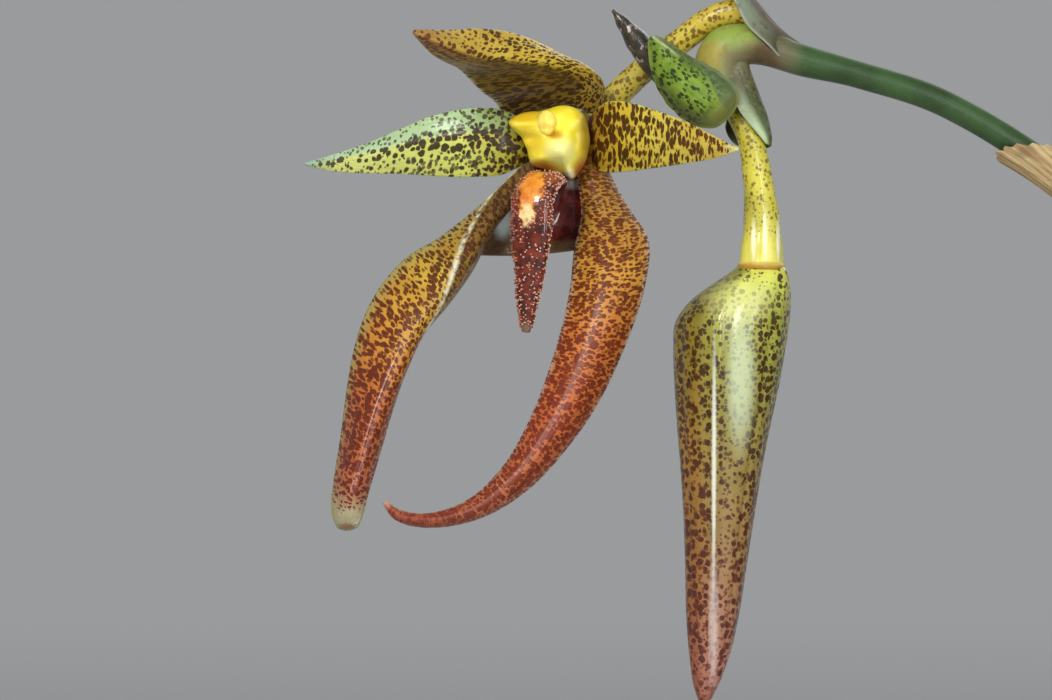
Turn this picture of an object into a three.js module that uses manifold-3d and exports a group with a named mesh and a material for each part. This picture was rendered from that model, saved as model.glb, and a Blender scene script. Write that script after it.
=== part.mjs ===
// A potted Bulbophyllum orchid in flower, in millimetres, +Z up, standing on Z = 0.
// A creeping rhizome with five one-leaved pseudobulbs sits on bark in a clay pot. An arching
// scape leans out to -X and carries one open flower, one long bud and a young bud in its bract.
import * as THREE from "three";
import { mergeVertices } from "three/addons/utils/BufferGeometryUtils.js";
import Module from "manifold-3d";

const wasm = await Module();
wasm.setup();

// Driving dimensions
const seatGap = 0.35; // clearance between pieces that touch
const pot = { height: 112, rimRadius: 68, rimHeight: 17, rimStep: 4, wall: 6, footRadius: 47, floor: 8, sides: 32 };
const drain = { radius: 5.5, ring: 27, count: 5 };
const bark = { surface: 99, chips: 29, length: 25, width: 17, thickness: 6.5, sides: 16 };
const rhizomeRadius = 4.2;
const scapeRadius = 2.8;
const bulbs = [
  { x: 40, y: 14, height: 45, radius: 14.5, lean: 6, leafAzimuth: 28, leafLength: 236, leafWidth: 62, droop: 58 },
  { x: 25, y: -16, height: 43, radius: 14, lean: 5, leafAzimuth: -48, leafLength: 218, leafWidth: 60, droop: 66 },
  { x: 3, y: 19, height: 47, radius: 15, lean: 4, leafAzimuth: 84, leafLength: 240, leafWidth: 64, droop: 44 },
  { x: -11, y: -19, height: 42, radius: 13.5, lean: 4, leafAzimuth: -84, leafLength: 196, leafWidth: 54, droop: 60 },
  { x: -37, y: 10, height: 35, radius: 12, lean: 5, leafAzimuth: 112, leafLength: 152, leafWidth: 44, droop: 40 },
];
const scapeFoot = { x: -15, y: 3 };
const flowerAt = new THREE.Vector3(-189, 0, 330); // the column, which every flower piece is placed from
const facing = 25; // degrees that the flower looks to the left of -Y

// A repeatable random number from 0 to 1
let seed = 20261;
function random() {
  seed = (seed * 16807) % 2147483647;
  return seed / 2147483647;
}
const between = (low, high) => low + (high - low) * random();
const vector = (x, y, z) => new THREE.Vector3(x, y, z);
const radians = THREE.MathUtils.degToRad;
const smoothCurve = (points) => new THREE.CatmullRomCurve3(points, false, "centripetal");

// An indexed geometry with its faces turned outwards
function closedGeometry(points, triangles) {
  let volume = 0;
  for (const [a, b, c] of triangles) volume += points[a].dot(vector(0, 0, 0).crossVectors(points[b], points[c]));
  const facesOut = volume < 0 ? triangles.map(([a, b, c]) => [a, c, b]) : triangles;
  const geometry = new THREE.BufferGeometry();
  geometry.setAttribute("position", new THREE.Float32BufferAttribute(points.flatMap((p) => p.toArray()), 3));
  geometry.setIndex(facesOut.flat());
  return geometry;
}

// A closed skin with thickness on both sides of face(u, w): u runs 0 to 1 along it, w -1 to 1 across
function sheet(face, thickness, rows, columns) {
  const points = [];
  const step = 0.01;
  const stride = columns + 1;
  const half = (rows + 1) * stride;
  for (const side of [1, -1]) {
    for (let i = 0; i <= rows; i++) {
      for (let j = 0; j <= columns; j++) {
        const u = i / rows;
        const w = (2 * j) / columns - 1;
        const along = face(Math.min(u + step, 1), w).sub(face(Math.max(u - step, 0), w));
        const across = face(u, Math.min(w + step, 1)).sub(face(u, Math.max(w - step, -1)));
        const normal = along.cross(across).normalize();
        points.push(face(u, w).addScaledVector(normal, (side * thickness(u, w)) / 2));
      }
    }
  }
  const triangles = [];
  for (let i = 0; i < rows; i++) {
    for (let j = 0; j < columns; j++) {
      const a = i * stride + j;
      const corners = [a, a + 1, a + stride + 1, a + stride];
      triangles.push([corners[0], corners[1], corners[2]], [corners[0], corners[2], corners[3]]);
      const under = corners.map((k) => k + half);
      triangles.push([under[0], under[2], under[1]], [under[0], under[3], under[2]]);
    }
  }
  const rim = [];
  for (let j = 0; j < columns; j++) rim.push(j);
  for (let i = 0; i < rows; i++) rim.push(i * stride + columns);
  for (let j = columns; j > 0; j--) rim.push(rows * stride + j);
  for (let i = rows; i > 0; i--) rim.push(i * stride);
  rim.forEach((a, k) => {
    const b = rim[(k + 1) % rim.length];
    triangles.push([a, a + half, b + half], [a, b + half, b]);
  });
  return closedGeometry(points, triangles);
}

// A petal-like face through stations of three points: one margin, the middle, the other margin.
// crease 0 rounds the fold over the middle, and 1 makes it sharp.
function bladeFace(stations, crease = 0) {
  const [first, middle, last] = [0, 1, 2].map((k) => smoothCurve(stations.map((row) => vector(...row[k]))));
  return (u, w) => {
    const a = first.getPoint(u);
    const m = middle.getPoint(u);
    const b = last.getPoint(u);
    const round = vector(0, 0, 0)
      .addScaledVector(a, (w * (w - 1)) / 2)
      .addScaledVector(m, 1 - w * w)
      .addScaledVector(b, (w * (w + 1)) / 2);
    return round.lerp(m.lerp(w < 0 ? a : b, Math.abs(w)), crease);
  };
}

// A closed solid through rings of points, with both ends capped
function loft(rings) {
  const sides = rings[0].length;
  const points = rings.flat();
  const triangles = [];
  for (let i = 0; i + 1 < rings.length; i++) {
    for (let j = 0; j < sides; j++) {
      const a = i * sides + j;
      const b = i * sides + ((j + 1) % sides);
      triangles.push([a, b, b + sides], [a, b + sides, a + sides]);
    }
  }
  for (const [ring, turn] of [[0, 1], [rings.length - 1, 0]]) {
    const centre = rings[ring].reduce((sum, p) => sum.add(p), vector(0, 0, 0)).divideScalar(sides);
    points.push(centre);
    for (let j = 0; j < sides; j++) {
      const a = ring * sides + j;
      const b = ring * sides + ((j + 1) % sides);
      triangles.push(turn ? [b, a, points.length - 1] : [a, b, points.length - 1]);
    }
  }
  return closedGeometry(points, triangles);
}

// Points along a smooth path, each with a radius and two directions that don't twist
function framesAlong(stations, count) {
  const path = smoothCurve(stations.map(([x, y, z]) => vector(x, y, z)));
  const frames = [];
  let side = vector(0, 1, 0);
  for (let i = 0; i <= count; i++) {
    const t = i / count;
    const tangent = path.getTangent(t);
    side = side.clone().addScaledVector(tangent, -side.dot(tangent)).normalize();
    const place = t * (stations.length - 1);
    const k = Math.min(Math.floor(place), stations.length - 2);
    const share = THREE.MathUtils.smoothstep(place - k, 0, 1);
    const radius = THREE.MathUtils.lerp(stations[k][3], stations[k + 1][3], share);
    frames.push({ at: path.getPoint(t), tangent, side, up: tangent.clone().cross(side), radius });
  }
  return frames;
}

function ringAt({ at, side, up }, wide, high, sides) {
  return Array.from({ length: sides }, (_, k) => {
    const angle = (2 * Math.PI * k) / sides;
    return at.clone().addScaledVector(side, wide * Math.cos(angle)).addScaledVector(up, high * Math.sin(angle));
  });
}

// A round stem through stations of x, y, z and radius, made fatter and longer by grow
function stem(stations, sides, count, grow = 0) {
  const frames = framesAlong(stations, count);
  frames[0].at.addScaledVector(frames[0].tangent, -grow);
  frames[count].at.addScaledVector(frames[count].tangent, grow);
  return loft(frames.map((f) => ringAt(f, f.radius + grow, f.radius + grow, sides)));
}

// A thin sleeve round a stem, longer on one side, so its mouth is cut on the slant to a point
function sleeve(stations, { from, to, inside, wall, flare, pointAngle, slant, sides, rows }) {
  const frames = framesAlong(stations, 120);
  const frameAt = (t) => frames[Math.round(THREE.MathUtils.clamp(t, 0, 1) * 120)];
  const point = (i, j, radius) => {
    const angle = (2 * Math.PI * j) / sides;
    const reach = 1 - slant * (0.5 - 0.5 * Math.cos(angle - pointAngle));
    const { at, side, up } = frameAt(from + (to - from) * reach * (i / rows));
    const out = radius + flare * (i / rows) ** 2;
    return at.clone().addScaledVector(side, out * Math.cos(angle)).addScaledVector(up, out * Math.sin(angle));
  };
  const points = [];
  const radii = [inside + wall, inside];
  for (const radius of radii) {
    for (let i = 0; i <= rows; i++) for (let j = 0; j < sides; j++) points.push(point(i, j, radius));
  }
  const inner = (rows + 1) * sides;
  const triangles = [];
  for (let j = 0; j < sides; j++) {
    const next = (j + 1) % sides;
    for (let i = 0; i < rows; i++) {
      const [a, b] = [i * sides + j, i * sides + next];
      triangles.push([a, b, b + sides], [a, b + sides, a + sides]);
      triangles.push([a + inner, b + inner + sides, b + inner], [a + inner, a + inner + sides, b + inner + sides]);
    }
    for (const [row, turn] of [[0, 0], [rows, 1]]) {
      const [a, b] = [row * sides + j, row * sides + next];
      const cap = [[a, a + inner, b + inner], [a, b + inner, b]];
      triangles.push(...(turn ? cap.map(([p, q, r]) => [p, r, q]) : cap));
    }
  }
  return closedGeometry(points, triangles);
}

// An ellipsoid turned by the flower's facing
function ellipsoid([x, y, z], [wide, deep, high], detail = 12, grow = 0) {
  const geometry = new THREE.SphereGeometry(1, detail, Math.round(detail * 0.7));
  geometry.scale(wide + grow, high + grow, deep + grow).rotateX(Math.PI / 2);
  return geometry.rotateZ(radians(-facing)).translate(x, y, z);
}

// Joining and cutting
function solidOf(geometry) {
  const bare = geometry.clone();
  bare.deleteAttribute("normal");
  bare.deleteAttribute("uv");
  const merged = mergeVertices(bare, 1e-4);
  return new wasm.Manifold(
    new wasm.Mesh({
      numProp: 3,
      vertProperties: merged.attributes.position.array,
      triVerts: new Uint32Array(merged.index.array),
    }),
  );
}
const joined = (geometries) => wasm.Manifold.union(geometries.map(solidOf));
const cut = (solid, cutters) => cutters.reduce((left, cutter) => left.subtract(solidOf(cutter)), solid);

// The largest body of a solid as a geometry, so a scrap that a cut leaves is dropped
function geometryOf(solid) {
  const body = solid.decompose().sort((a, b) => b.volume() - a.volume())[0];
  const mesh = body.getMesh();
  const geometry = new THREE.BufferGeometry();
  geometry.setAttribute("position", new THREE.BufferAttribute(new Float32Array(mesh.vertProperties), 3));
  geometry.setIndex(new THREE.BufferAttribute(new Uint32Array(mesh.triVerts), 1));
  return geometry;
}

// Clay pot, turned, with drain holes through its floor
const potInnerRadius = (z) => {
  const share = z / pot.height;
  return THREE.MathUtils.lerp(pot.footRadius, pot.rimRadius - pot.rimStep, share) - pot.wall;
};
function clayPot() {
  const bodyTop = pot.height - pot.rimHeight;
  const bodyRadius = (z) => potInnerRadius(z) + pot.wall;
  const profile = [
    [0, 0],
    [pot.footRadius - 2, 0],
    [pot.footRadius, 2],
    [bodyRadius(bodyTop * 0.5), bodyTop * 0.5],
    [bodyRadius(bodyTop), bodyTop],
    [pot.rimRadius - 1, bodyTop + 1.5],
    [pot.rimRadius, bodyTop + 4],
    [pot.rimRadius, pot.height - 3],
    [pot.rimRadius - 2, pot.height],
    [potInnerRadius(pot.height) + 1.5, pot.height],
    [potInnerRadius(pot.height), pot.height - 2],
    [potInnerRadius(pot.height * 0.5), pot.height * 0.5],
    [potInnerRadius(pot.floor) - 2, pot.floor],
    [0, pot.floor],
  ];
  const turned = new THREE.LatheGeometry(profile.map(([r, z]) => new THREE.Vector2(r, z)), pot.sides);
  const holes = Array.from({ length: drain.count }, (_, k) => {
    const angle = (2 * Math.PI * k) / drain.count;
    const hole = new THREE.CylinderGeometry(drain.radius, drain.radius, pot.floor * 3, 12).rotateX(Math.PI / 2);
    return hole.translate(drain.ring * Math.cos(angle), drain.ring * Math.sin(angle), pot.floor / 2);
  });
  return geometryOf(cut(solidOf(turned.rotateX(Math.PI / 2)), holes));
}

// Rhizome with a stub under each bulb and under the scape, and warty roots that run over the bark
const rhizomePath = [
  [54, 6, bark.surface + 1, 3.2],
  [38, 1, bark.surface + 1.4, rhizomeRadius],
  [20, 1, bark.surface + 1, rhizomeRadius * 0.9],
  [2, 0, bark.surface + 1.6, rhizomeRadius],
  [-16, -3, bark.surface + 1.2, rhizomeRadius * 0.9],
  [-32, 0, bark.surface + 1.4, rhizomeRadius],
  [-47, 0, bark.surface + 2.6, 2.4],
];
const bulbFoot = bark.surface + 6;
const branches = [
  { from: [38, 1], to: bulbs[0] },
  { from: [24, 1], to: bulbs[1] },
  { from: [4, 0], to: bulbs[2] },
  { from: [-12, -2], to: bulbs[3] },
  { from: [-32, 0], to: bulbs[4] },
  { from: [-14, -2], to: scapeFoot },
];
const roots = [
  [[44, 3, 2], [50, -7, 2.4], [49, -18, 1.8], [44, -27, -6]],
  [[30, 1, 2], [36, -16, 2.2], [42, -27, 1.6], [36, -38, -1], [33, -41, -7]],
  [[12, 0, 2], [10, -18, 2.2], [16, -34, 2], [10, -46, -6]],
  [[-6, -2, 2], [-28, -16, 2.4], [-30, -32, 1.6], [-22, -42, -6]],
  [[-22, -1, 2], [-26, 18, 2.2], [-18, 36, 1.8], [-22, 46, -6]],
  [[20, 1, 2], [22, 22, 2.2], [16, 38, 1.8], [22, 48, -6]],
];
const rimRoots = [
  { start: [-42, 0, 2], azimuth: 200, drift: 1.6, reach: 10 },
  { start: [50, 5, 2], azimuth: -14, drift: 1.2, reach: 9 },
];
const overRim = [[50, 3.4], [53.4, 8], [55.4, 13], [59.4, 16], [65, 16.2], [69.4, 13.6], [70.6, 6], [70, -5], [67.4, -19], [68.6, -34]];
const rootRadius = 1.5;
function rhizomeParts(grow = 0) {
  const overRimRoots = rimRoots.map(({ start, azimuth, drift, reach }) => [
    start,
    ...overRim.slice(0, reach).map(([r, up], k) => {
      const angle = radians(azimuth + drift * k);
      return [r * Math.cos(angle), r * Math.sin(angle), up];
    }),
  ]);
  const wander = (route) => route.map(([x, y, up], k) => [x, y, bark.surface + up, k ? rootRadius : 2]);
  return [
    stem(rhizomePath, 8, 12, grow),
    ...branches.flatMap(({ from, to: { x, y } }) => {
      const low = bark.surface + 1.2;
      return [
        stem([[...from, low, 3], [x, y, low, 3.2]], 6, 1, grow),
        stem([[x, y, low, 3.6], [x, y, bulbFoot, 3.9]], 7, 1, grow),
      ];
    }),
    ...roots.map((route) => stem(wander(route), 5, 5, grow)),
    ...overRimRoots.map((route) => stem(wander(route), 5, 14, grow)),
  ];
}

// Ribbed pseudobulb, leaning a little the way its leaf goes
function bulbLean({ lean, leafAzimuth }) {
  return vector(Math.cos(radians(leafAzimuth)), Math.sin(radians(leafAzimuth)), 0).multiplyScalar(
    Math.tan(radians(lean)),
  );
}
const bulbProfile = [[0, 0.5], [0.14, 0.84], [0.32, 1], [0.5, 0.95], [0.7, 0.73], [0.87, 0.45], [1, 0.28]];
function bulb(b, grow = 0) {
  const ribs = 7;
  const slope = bulbLean(b);
  const foot = bulbFoot + seatGap - grow;
  return loft(
    bulbProfile.map(([share, wide]) =>
      Array.from({ length: 2 * ribs }, (_, k) => {
        const angle = (Math.PI * k) / ribs;
        const radius = b.radius * wide * (k % 2 ? 0.93 : 1.02) + grow;
        const height = (b.height + 2 * grow) * share;
        return vector(
          b.x + radius * Math.cos(angle) + slope.x * height,
          b.y + radius * Math.sin(angle) + slope.y * height,
          foot + height,
        );
      }),
    ),
  );
}

// Papery sheath left round the foot of a bulb, torn to points
function bulbSheath(b, grow = 0) {
  const sides = 12;
  const slope = bulbLean(b);
  const shares = [0.0, 0.16, 0.34];
  const wides = [0.62, 0.88, 1.02];
  const rings = (extra, tear) =>
    shares.map((share, row) =>
      Array.from({ length: sides }, (_, k) => {
        const angle = (2 * Math.PI * k) / sides;
        const torn = row === 2 ? tear * (k % 3 === 0 ? 1 : k % 3 === 1 ? -0.6 : -0.2) : 0;
        const height = b.height * share + torn + 0.6;
        const radius = b.radius * wides[row] + 1.7 + extra + (row === 2 ? 0.5 : 0);
        return vector(
          b.x + radius * Math.cos(angle) + slope.x * height,
          b.y + radius * Math.sin(angle) + slope.y * height,
          bulbFoot + seatGap + height,
        );
      }),
    );
  const outer = rings(0.9 + grow, 4);
  const inner = rings(0, 4);
  const points = [...outer.flat(), ...inner.flat()];
  const half = shares.length * sides;
  const triangles = [];
  for (let j = 0; j < sides; j++) {
    const next = (j + 1) % sides;
    for (let i = 0; i + 1 < shares.length; i++) {
      const [a, c] = [i * sides + j, i * sides + next];
      triangles.push([a, c, c + sides], [a, c + sides, a + sides]);
      triangles.push([a + half, c + half + sides, c + half], [a + half, a + half + sides, c + half + sides]);
    }
    const top = (shares.length - 1) * sides;
    triangles.push([j, j + half, next + half], [j, next + half, next]);
    triangles.push([top + j, top + next + half, top + j + half], [top + j, top + next, top + next + half]);
  }
  return closedGeometry(points, triangles);
}

// Leaf on its channelled stalk: one thick-stalked blade that arches away from the bulb
function leaf(b) {
  const stalkShare = 0.17;
  const stalkHalf = 3;
  const slope = bulbLean(b);
  const tiltRoom = stalkHalf * Math.sin(radians(b.lean));
  const top = bulbFoot + 2 * seatGap + b.height + tiltRoom;
  const start = vector(b.x, b.y, top).addScaledVector(slope, b.height);
  const heading = vector(Math.cos(radians(b.leafAzimuth)), Math.sin(radians(b.leafAzimuth)), 0);
  const across = vector(-heading.y, heading.x, 0);
  const steps = 60;
  const tilt = (s) => radians(b.lean + b.droop * s ** 1.7);
  const spine = [start];
  for (let k = 0; k < steps; k++) {
    const angle = tilt((k + 0.5) / steps);
    const move = heading.clone().multiplyScalar(Math.sin(angle)).add(vector(0, 0, Math.cos(angle)));
    spine.push(spine[k].clone().addScaledVector(move, b.leafLength / steps));
  }
  const outline = (s) => {
    if (s < stalkShare) return stalkHalf;
    const q = (s - stalkShare) / (1 - stalkShare);
    const full = Math.sin(Math.PI * Math.min(q ** 0.86, 1)) ** 0.72;
    return Math.max(stalkHalf * (1 - q) + (b.leafWidth / 2 - 1) * full, 0.6);
  };
  const blade = (s) => THREE.MathUtils.smoothstep(s, stalkShare, stalkShare + 0.12);
  const face = (u, w) => {
    const place = u * steps;
    const k = Math.min(Math.floor(place), steps - 1);
    const angle = tilt(u);
    const inwards = heading.clone().multiplyScalar(-Math.cos(angle)).add(vector(0, 0, Math.sin(angle)));
    const half = outline(u);
    const channel = half * (0.3 * Math.abs(w) ** 1.3) * blade(u);
    const wave = 1.1 * Math.sin(9 * u + 1.3 * w) * w * w * blade(u);
    const at = spine[k].clone().lerp(spine[k + 1], place - k);
    return at.addScaledVector(across, w * half).addScaledVector(inwards, channel + wave);
  };
  const thickness = (u, w) => THREE.MathUtils.lerp(4.6 - 2.4 * w * w, 1.7 - 0.5 * Math.abs(w), blade(u));
  return sheet(face, thickness, 15, 6);
}

// Scape: it climbs out of the pot, arches over to the left and ends in the thick, nodding rachis
const scapePath = [
  [scapeFoot.x, scapeFoot.y, bulbFoot + seatGap + 0.2, 3.2],
  [-17.5, 2.4, 145, scapeRadius],
  [-23, 1, 190, scapeRadius],
  [-36, 0.4, 240, scapeRadius],
  [-58, 1, 287, scapeRadius],
  [-84, 1.6, 321, scapeRadius],
  [-110.4, 2, 339, 2.7],
  [-128, 2, 345, 2.7],
  [-141, 2.2, 348.4, 3.2],
  [-149, 2.6, 351.2, 4],
  [-155, 3, 350, 4.8],
  [-156.6, 3.2, 344.4, 4.9],
  [-154.2, 3, 338.8, 3.6],
];
const scapeSleeves = [
  { from: 0.012, to: 0.1, inside: 3.6, wall: 0.9, flare: 1.6, pointAngle: 2.4, slant: 0.45 },
  { from: 0.2, to: 0.272, inside: 3.2, wall: 0.8, flare: 0.8, pointAngle: 0.9, slant: 0.5 },
  { from: 0.4, to: 0.465, inside: 3.3, wall: 0.8, flare: 0.8, pointAngle: 4.1, slant: 0.5 },
];

// The raceme below, placed from the column of the open flower
const pedicelStations = [
  [40.6, 3, 24.2, 2.4],
  [38.8, 3, 27.4, 2.5],
  [34.8, 3.4, 29.2, 2.6],
  [30, 4.2, 27, 2.6],
  [25.2, 5.4, 22.8, 2.6],
  [19.4, 7.2, 17.8, 2.6],
  [14, 8.6, 13, 2.7],
  [10.4, 9.4, 9.2, 2.9],
  [7, 8.4, 5.6, 3.1],
];
const budStalkStations = [
  [36.2, 2.7, 7.9, 2.4],
  [38.8, 1.8, 2.6, 2.6],
  [40.4, 1, -6, 3],
  [41.2, 0.4, -15, 3.8],
  [41.1, 0, -22.8, 4.8],
];
const youngBudStations = [
  [22.6, -2.8, 13.4, 2.2],
  [19.4, -2.4, 17.4, 2.6],
  [16.4, -2.8, 21.4, 2.3],
  [13.6, -3.2, 25, 1.4],
  [11.3, -3.6, 27.8, 0.35],
];
const youngBractStations = [
  [33.8, -2.6, 10.8, 2.4],
  [31.8, -4, 9.4, 4.5],
  [28, -5.2, 11.4, 5.4],
  [24, -5.8, 14.4, 4.3],
  [20.8, -6, 18.2, 2.7],
  [18.6, -6.2, 22.2, 0.5],
];

// Long closed bud: flattened rings down its axis, with three seams and the chin bulging to the left
const budRings = [
  // height, centre x, half width
  [-23.3, 41.1, 4.9],
  [-25, 40.2, 6.3],
  [-27.5, 38.5, 8.2],
  [-30.5, 36.7, 10],
  [-34.5, 35.2, 11.2],
  [-40, 34.6, 11],
  [-47, 34.1, 10.3],
  [-55, 33.5, 9.2],
  [-64, 33, 8],
  [-74, 32.5, 6.9],
  [-84, 31.9, 6],
  [-93, 31.3, 5.2],
  [-101, 30.7, 4],
  [-107, 30, 2.5],
  [-111, 29.6, 0.8],
];
function bud() {
  const sides = 15;
  return loft(
    budRings.map(([z, x, half]) =>
      Array.from({ length: sides }, (_, k) => {
        const angle = (2 * Math.PI * k) / sides;
        const ridge = 1 + 0.05 * Math.cos(3 * (angle + 1.35));
        return vector(x + half * ridge * Math.cos(angle), 0.82 * half * ridge * Math.sin(angle), z);
      }),
    ),
  );
}

// Stations of the sepals and petals: margin, middle, margin, each as x, y, z from the column
const dorsalStations = [
  [[-6.5, 6.2, 6.6], [2, 4.8, 9], [7.6, 7, 8]],
  [[-12.2, 3.4, 9.4], [5.4, 0.4, 13], [9.4, 5, 12.2]],
  [[-14.5, 0.4, 11.4], [3.2, -4.2, 15.5], [6.8, 1, 15.8]],
  [[-16.8, -3, 13.7], [-2, -8.6, 17], [1, -3.4, 19.3]],
  [[-19.2, -7, 15.6], [-8.5, -13, 17.6], [-6, -8.2, 22.2]],
  [[-22.2, -12, 17.3], [-15.5, -17, 18.2], [-14, -13, 23.5]],
  [[-25.4, -17.6, 19.6], [-21.8, -20.6, 20.2], [-21.5, -18, 23.3]],
  [[-28.1, -22.6, 22.2], [-28.4, -22.9, 22.6], [-28.1, -22.6, 23]],
];
const leftPetalStations = [
  [[-5.6, 3.6, 5.4], [-4.8, 2.6, 1.8], [-5.4, 3.6, -2]],
  [[-11, 2.4, 8.1], [-11, 0.8, 1.6], [-11, 2.4, -5]],
  [[-17, 2.2, 8.5], [-17, 0.6, 1.6], [-17, 2.4, -5.3]],
  [[-23.5, 3, 7.2], [-23.5, 1.6, 1.1], [-24, 3.2, -5.1]],
  [[-31.4, 4.4, 4.2], [-31.6, 3.4, -0.2], [-32, 4.6, -4.7]],
  [[-39.6, 6, 0.9], [-39.8, 5.4, -1.6], [-40, 6.2, -4.3]],
  [[-46.2, 7.4, -1.4], [-46.4, 7.2, -2.5], [-46.4, 7.5, -3.7]],
  [[-50.4, 8.5, -2.3], [-50.6, 8.5, -2.5], [-50.4, 8.5, -2.8]],
];
const rightPetalStations = [
  [[6.2, 4, 5.8], [6, 3, 2], [5.6, 3.8, -2.2]],
  [[9.4, 1.6, 9.2], [9.6, -0.4, 2.5], [9.4, 1.6, -4.2]],
  [[14, -2.2, 9.5], [14.2, -4.6, 2.6], [14, -2.4, -4.5]],
  [[19.2, -7, 8], [19.4, -9.2, 2.4], [19.2, -7.2, -3.8]],
  [[25, -13, 5.5], [25.2, -14.8, 1.6], [25, -13.2, -3.1]],
  [[30.8, -19.2, 2.4], [31, -20.2, 0.5], [30.8, -19.4, -2.3]],
  [[35.6, -24.6, -0.3], [35.8, -24.6, -0.6], [35.6, -24.6, -0.9]],
];
const leftSepalStations = [
  [[-6.4, 2.4, -3.4], [-6.2, 1.6, -6.4], [-6, 2.6, -9]],
  [[-14.8, 1.8, -11], [-12.4, -2.4, -14.4], [-11, 1.9, -17.4]],
  [[-23, 0, -17.4], [-18, -7.6, -21.8], [-17, -2.6, -25]],
  [[-30, -3, -21.6], [-23.4, -11.6, -28], [-21.6, -6, -30.6]],
  [[-35.4, -6, -28], [-28.4, -14.6, -34.6], [-26.6, -9, -36.6]],
  [[-39, -8, -36], [-31.8, -17, -42], [-29.6, -11.4, -43.2]],
  [[-41.2, -10, -46], [-35.2, -19, -50.2], [-32.4, -13.4, -51.6]],
  [[-42.6, -12.4, -56], [-38, -21, -59], [-34.8, -15.6, -59.6]],
  [[-43.8, -15.6, -66], [-40, -23.4, -67.8], [-37, -18.4, -68.2]],
  [[-44, -20, -72], [-41, -27.2, -73], [-38.2, -22.4, -72.4]],
  [[-43.6, -25.4, -74.4], [-41.2, -31, -74.8], [-38.9, -26.8, -74.4]],
  [[-42.8, -31, -74.6], [-41.2, -34.4, -74], [-39.8, -31.4, -74.6]],
  [[-41.6, -35.6, -72.8], [-41.2, -36.2, -72.4], [-40.8, -35.6, -72.8]],
];
const rightSepalStations = [
  [[4.8, 3, -4.6], [7.2, 2.4, -4.4], [10.4, 4, -4.6]],
  [[5.2, 0.4, -13], [9.8, -3.6, -13], [15, -0.4, -12.2]],
  [[3.6, -3.4, -20], [10.6, -8.4, -19.6], [18.3, -3, -18]],
  [[2.8, -7.6, -28], [10.2, -13, -28], [17.5, -6.4, -27]],
  [[1.2, -10.6, -36], [7.8, -16, -37.4], [14.1, -9.4, -38]],
  [[-2, -13.6, -46], [3.4, -19, -48.4], [8.6, -12.4, -50]],
  [[-5.4, -16.4, -54], [-1.6, -21, -57.2], [2.2, -15.4, -59]],
  [[-10.4, -18.4, -63], [-8, -22.4, -65.4], [-5.8, -17.4, -67.4]],
  [[-17, -19.4, -69.6], [-15.8, -22.4, -71.4], [-14.8, -18.6, -73]],
  [[-25, -20.4, -72.4], [-24.8, -22.2, -73.6], [-24.6, -19.8, -75]],
  [[-31, -20.8, -71.6], [-31.3, -21.6, -72.5], [-31.6, -20.4, -73.4]],
  [[-33.7, -20.8, -69.8], [-34, -20.9, -69.9], [-34.2, -20.8, -70]],
];
const fleshy = (middle, edge) => (u, w) => THREE.MathUtils.lerp(middle, edge, w * w) * (1 - 0.25 * u);

// Column: a stout yellow body with two pointed wings, a hollow under the anther, and its foot spread
// below into a saddle between the lateral sepals
const columnBody = { at: [0.6, -0.6, 2.4], size: [6.6, 5.2, 6.4] };
const columnLobe = { at: [2.2, -4.6, -0.8], size: [3.7, 3, 4.4] };
const antherBed = { at: [-1.4, -4.8, 5.4], size: [3.4, 2.8, 3] };
const antherCap = { at: [-2.3, -7.2, 5.7], size: [3, 1.9, 2.7] };
const stigma = { at: [-1.6, -8, 1.6], size: [2.2, 2.6, 1.6] };
const footStations = [
  [[-3.2, 0.6, 0.4], [0.6, 1.2, 0.8], [3.8, 0.6, 0.4]],
  [[-4.6, 3.4, -3.4], [0.6, 3.6, -3], [4.4, 3.4, -3.4]],
  [[-7.6, 4, -10.4], [-0.4, 6.2, -9.6], [4, 3.4, -9.6]],
  [[-12, 3.6, -16.4], [-2, 5.8, -14.8], [4.6, 1.2, -15]],
  [[-15.4, 2, -21.6], [-3.4, 3, -18.8], [4.2, -1, -19.6]],
];
const wings = [
  { from: [-2.6, -2, 3.6], to: [-9.8, -3.4, 5.4], radius: 4.2 },
  { from: [3.6, -3.6, 3.6], to: [7, -8.4, 5], radius: 3 },
];
function columnCore(grow = 0) {
  return [columnBody, columnLobe, antherBed].map(({ at, size }) => ellipsoid(at, size, 9, grow));
}
function wingSpike({ from, to, radius }) {
  const stations = [[...from, radius], [...to, 0.45]];
  return stem(stations, 6, 3);
}
function column() {
  const foot = sheet(bladeFace(footStations), () => 1.2, 5, 6);
  const whole = joined([...columnCore(), ...wings.map(wingSpike), foot]);
  const hollows = [ellipsoid(stigma.at, stigma.size, 8), ellipsoid(antherCap.at, antherCap.size, 10, seatGap)];
  return geometryOf(cut(whole, hollows));
}

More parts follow.
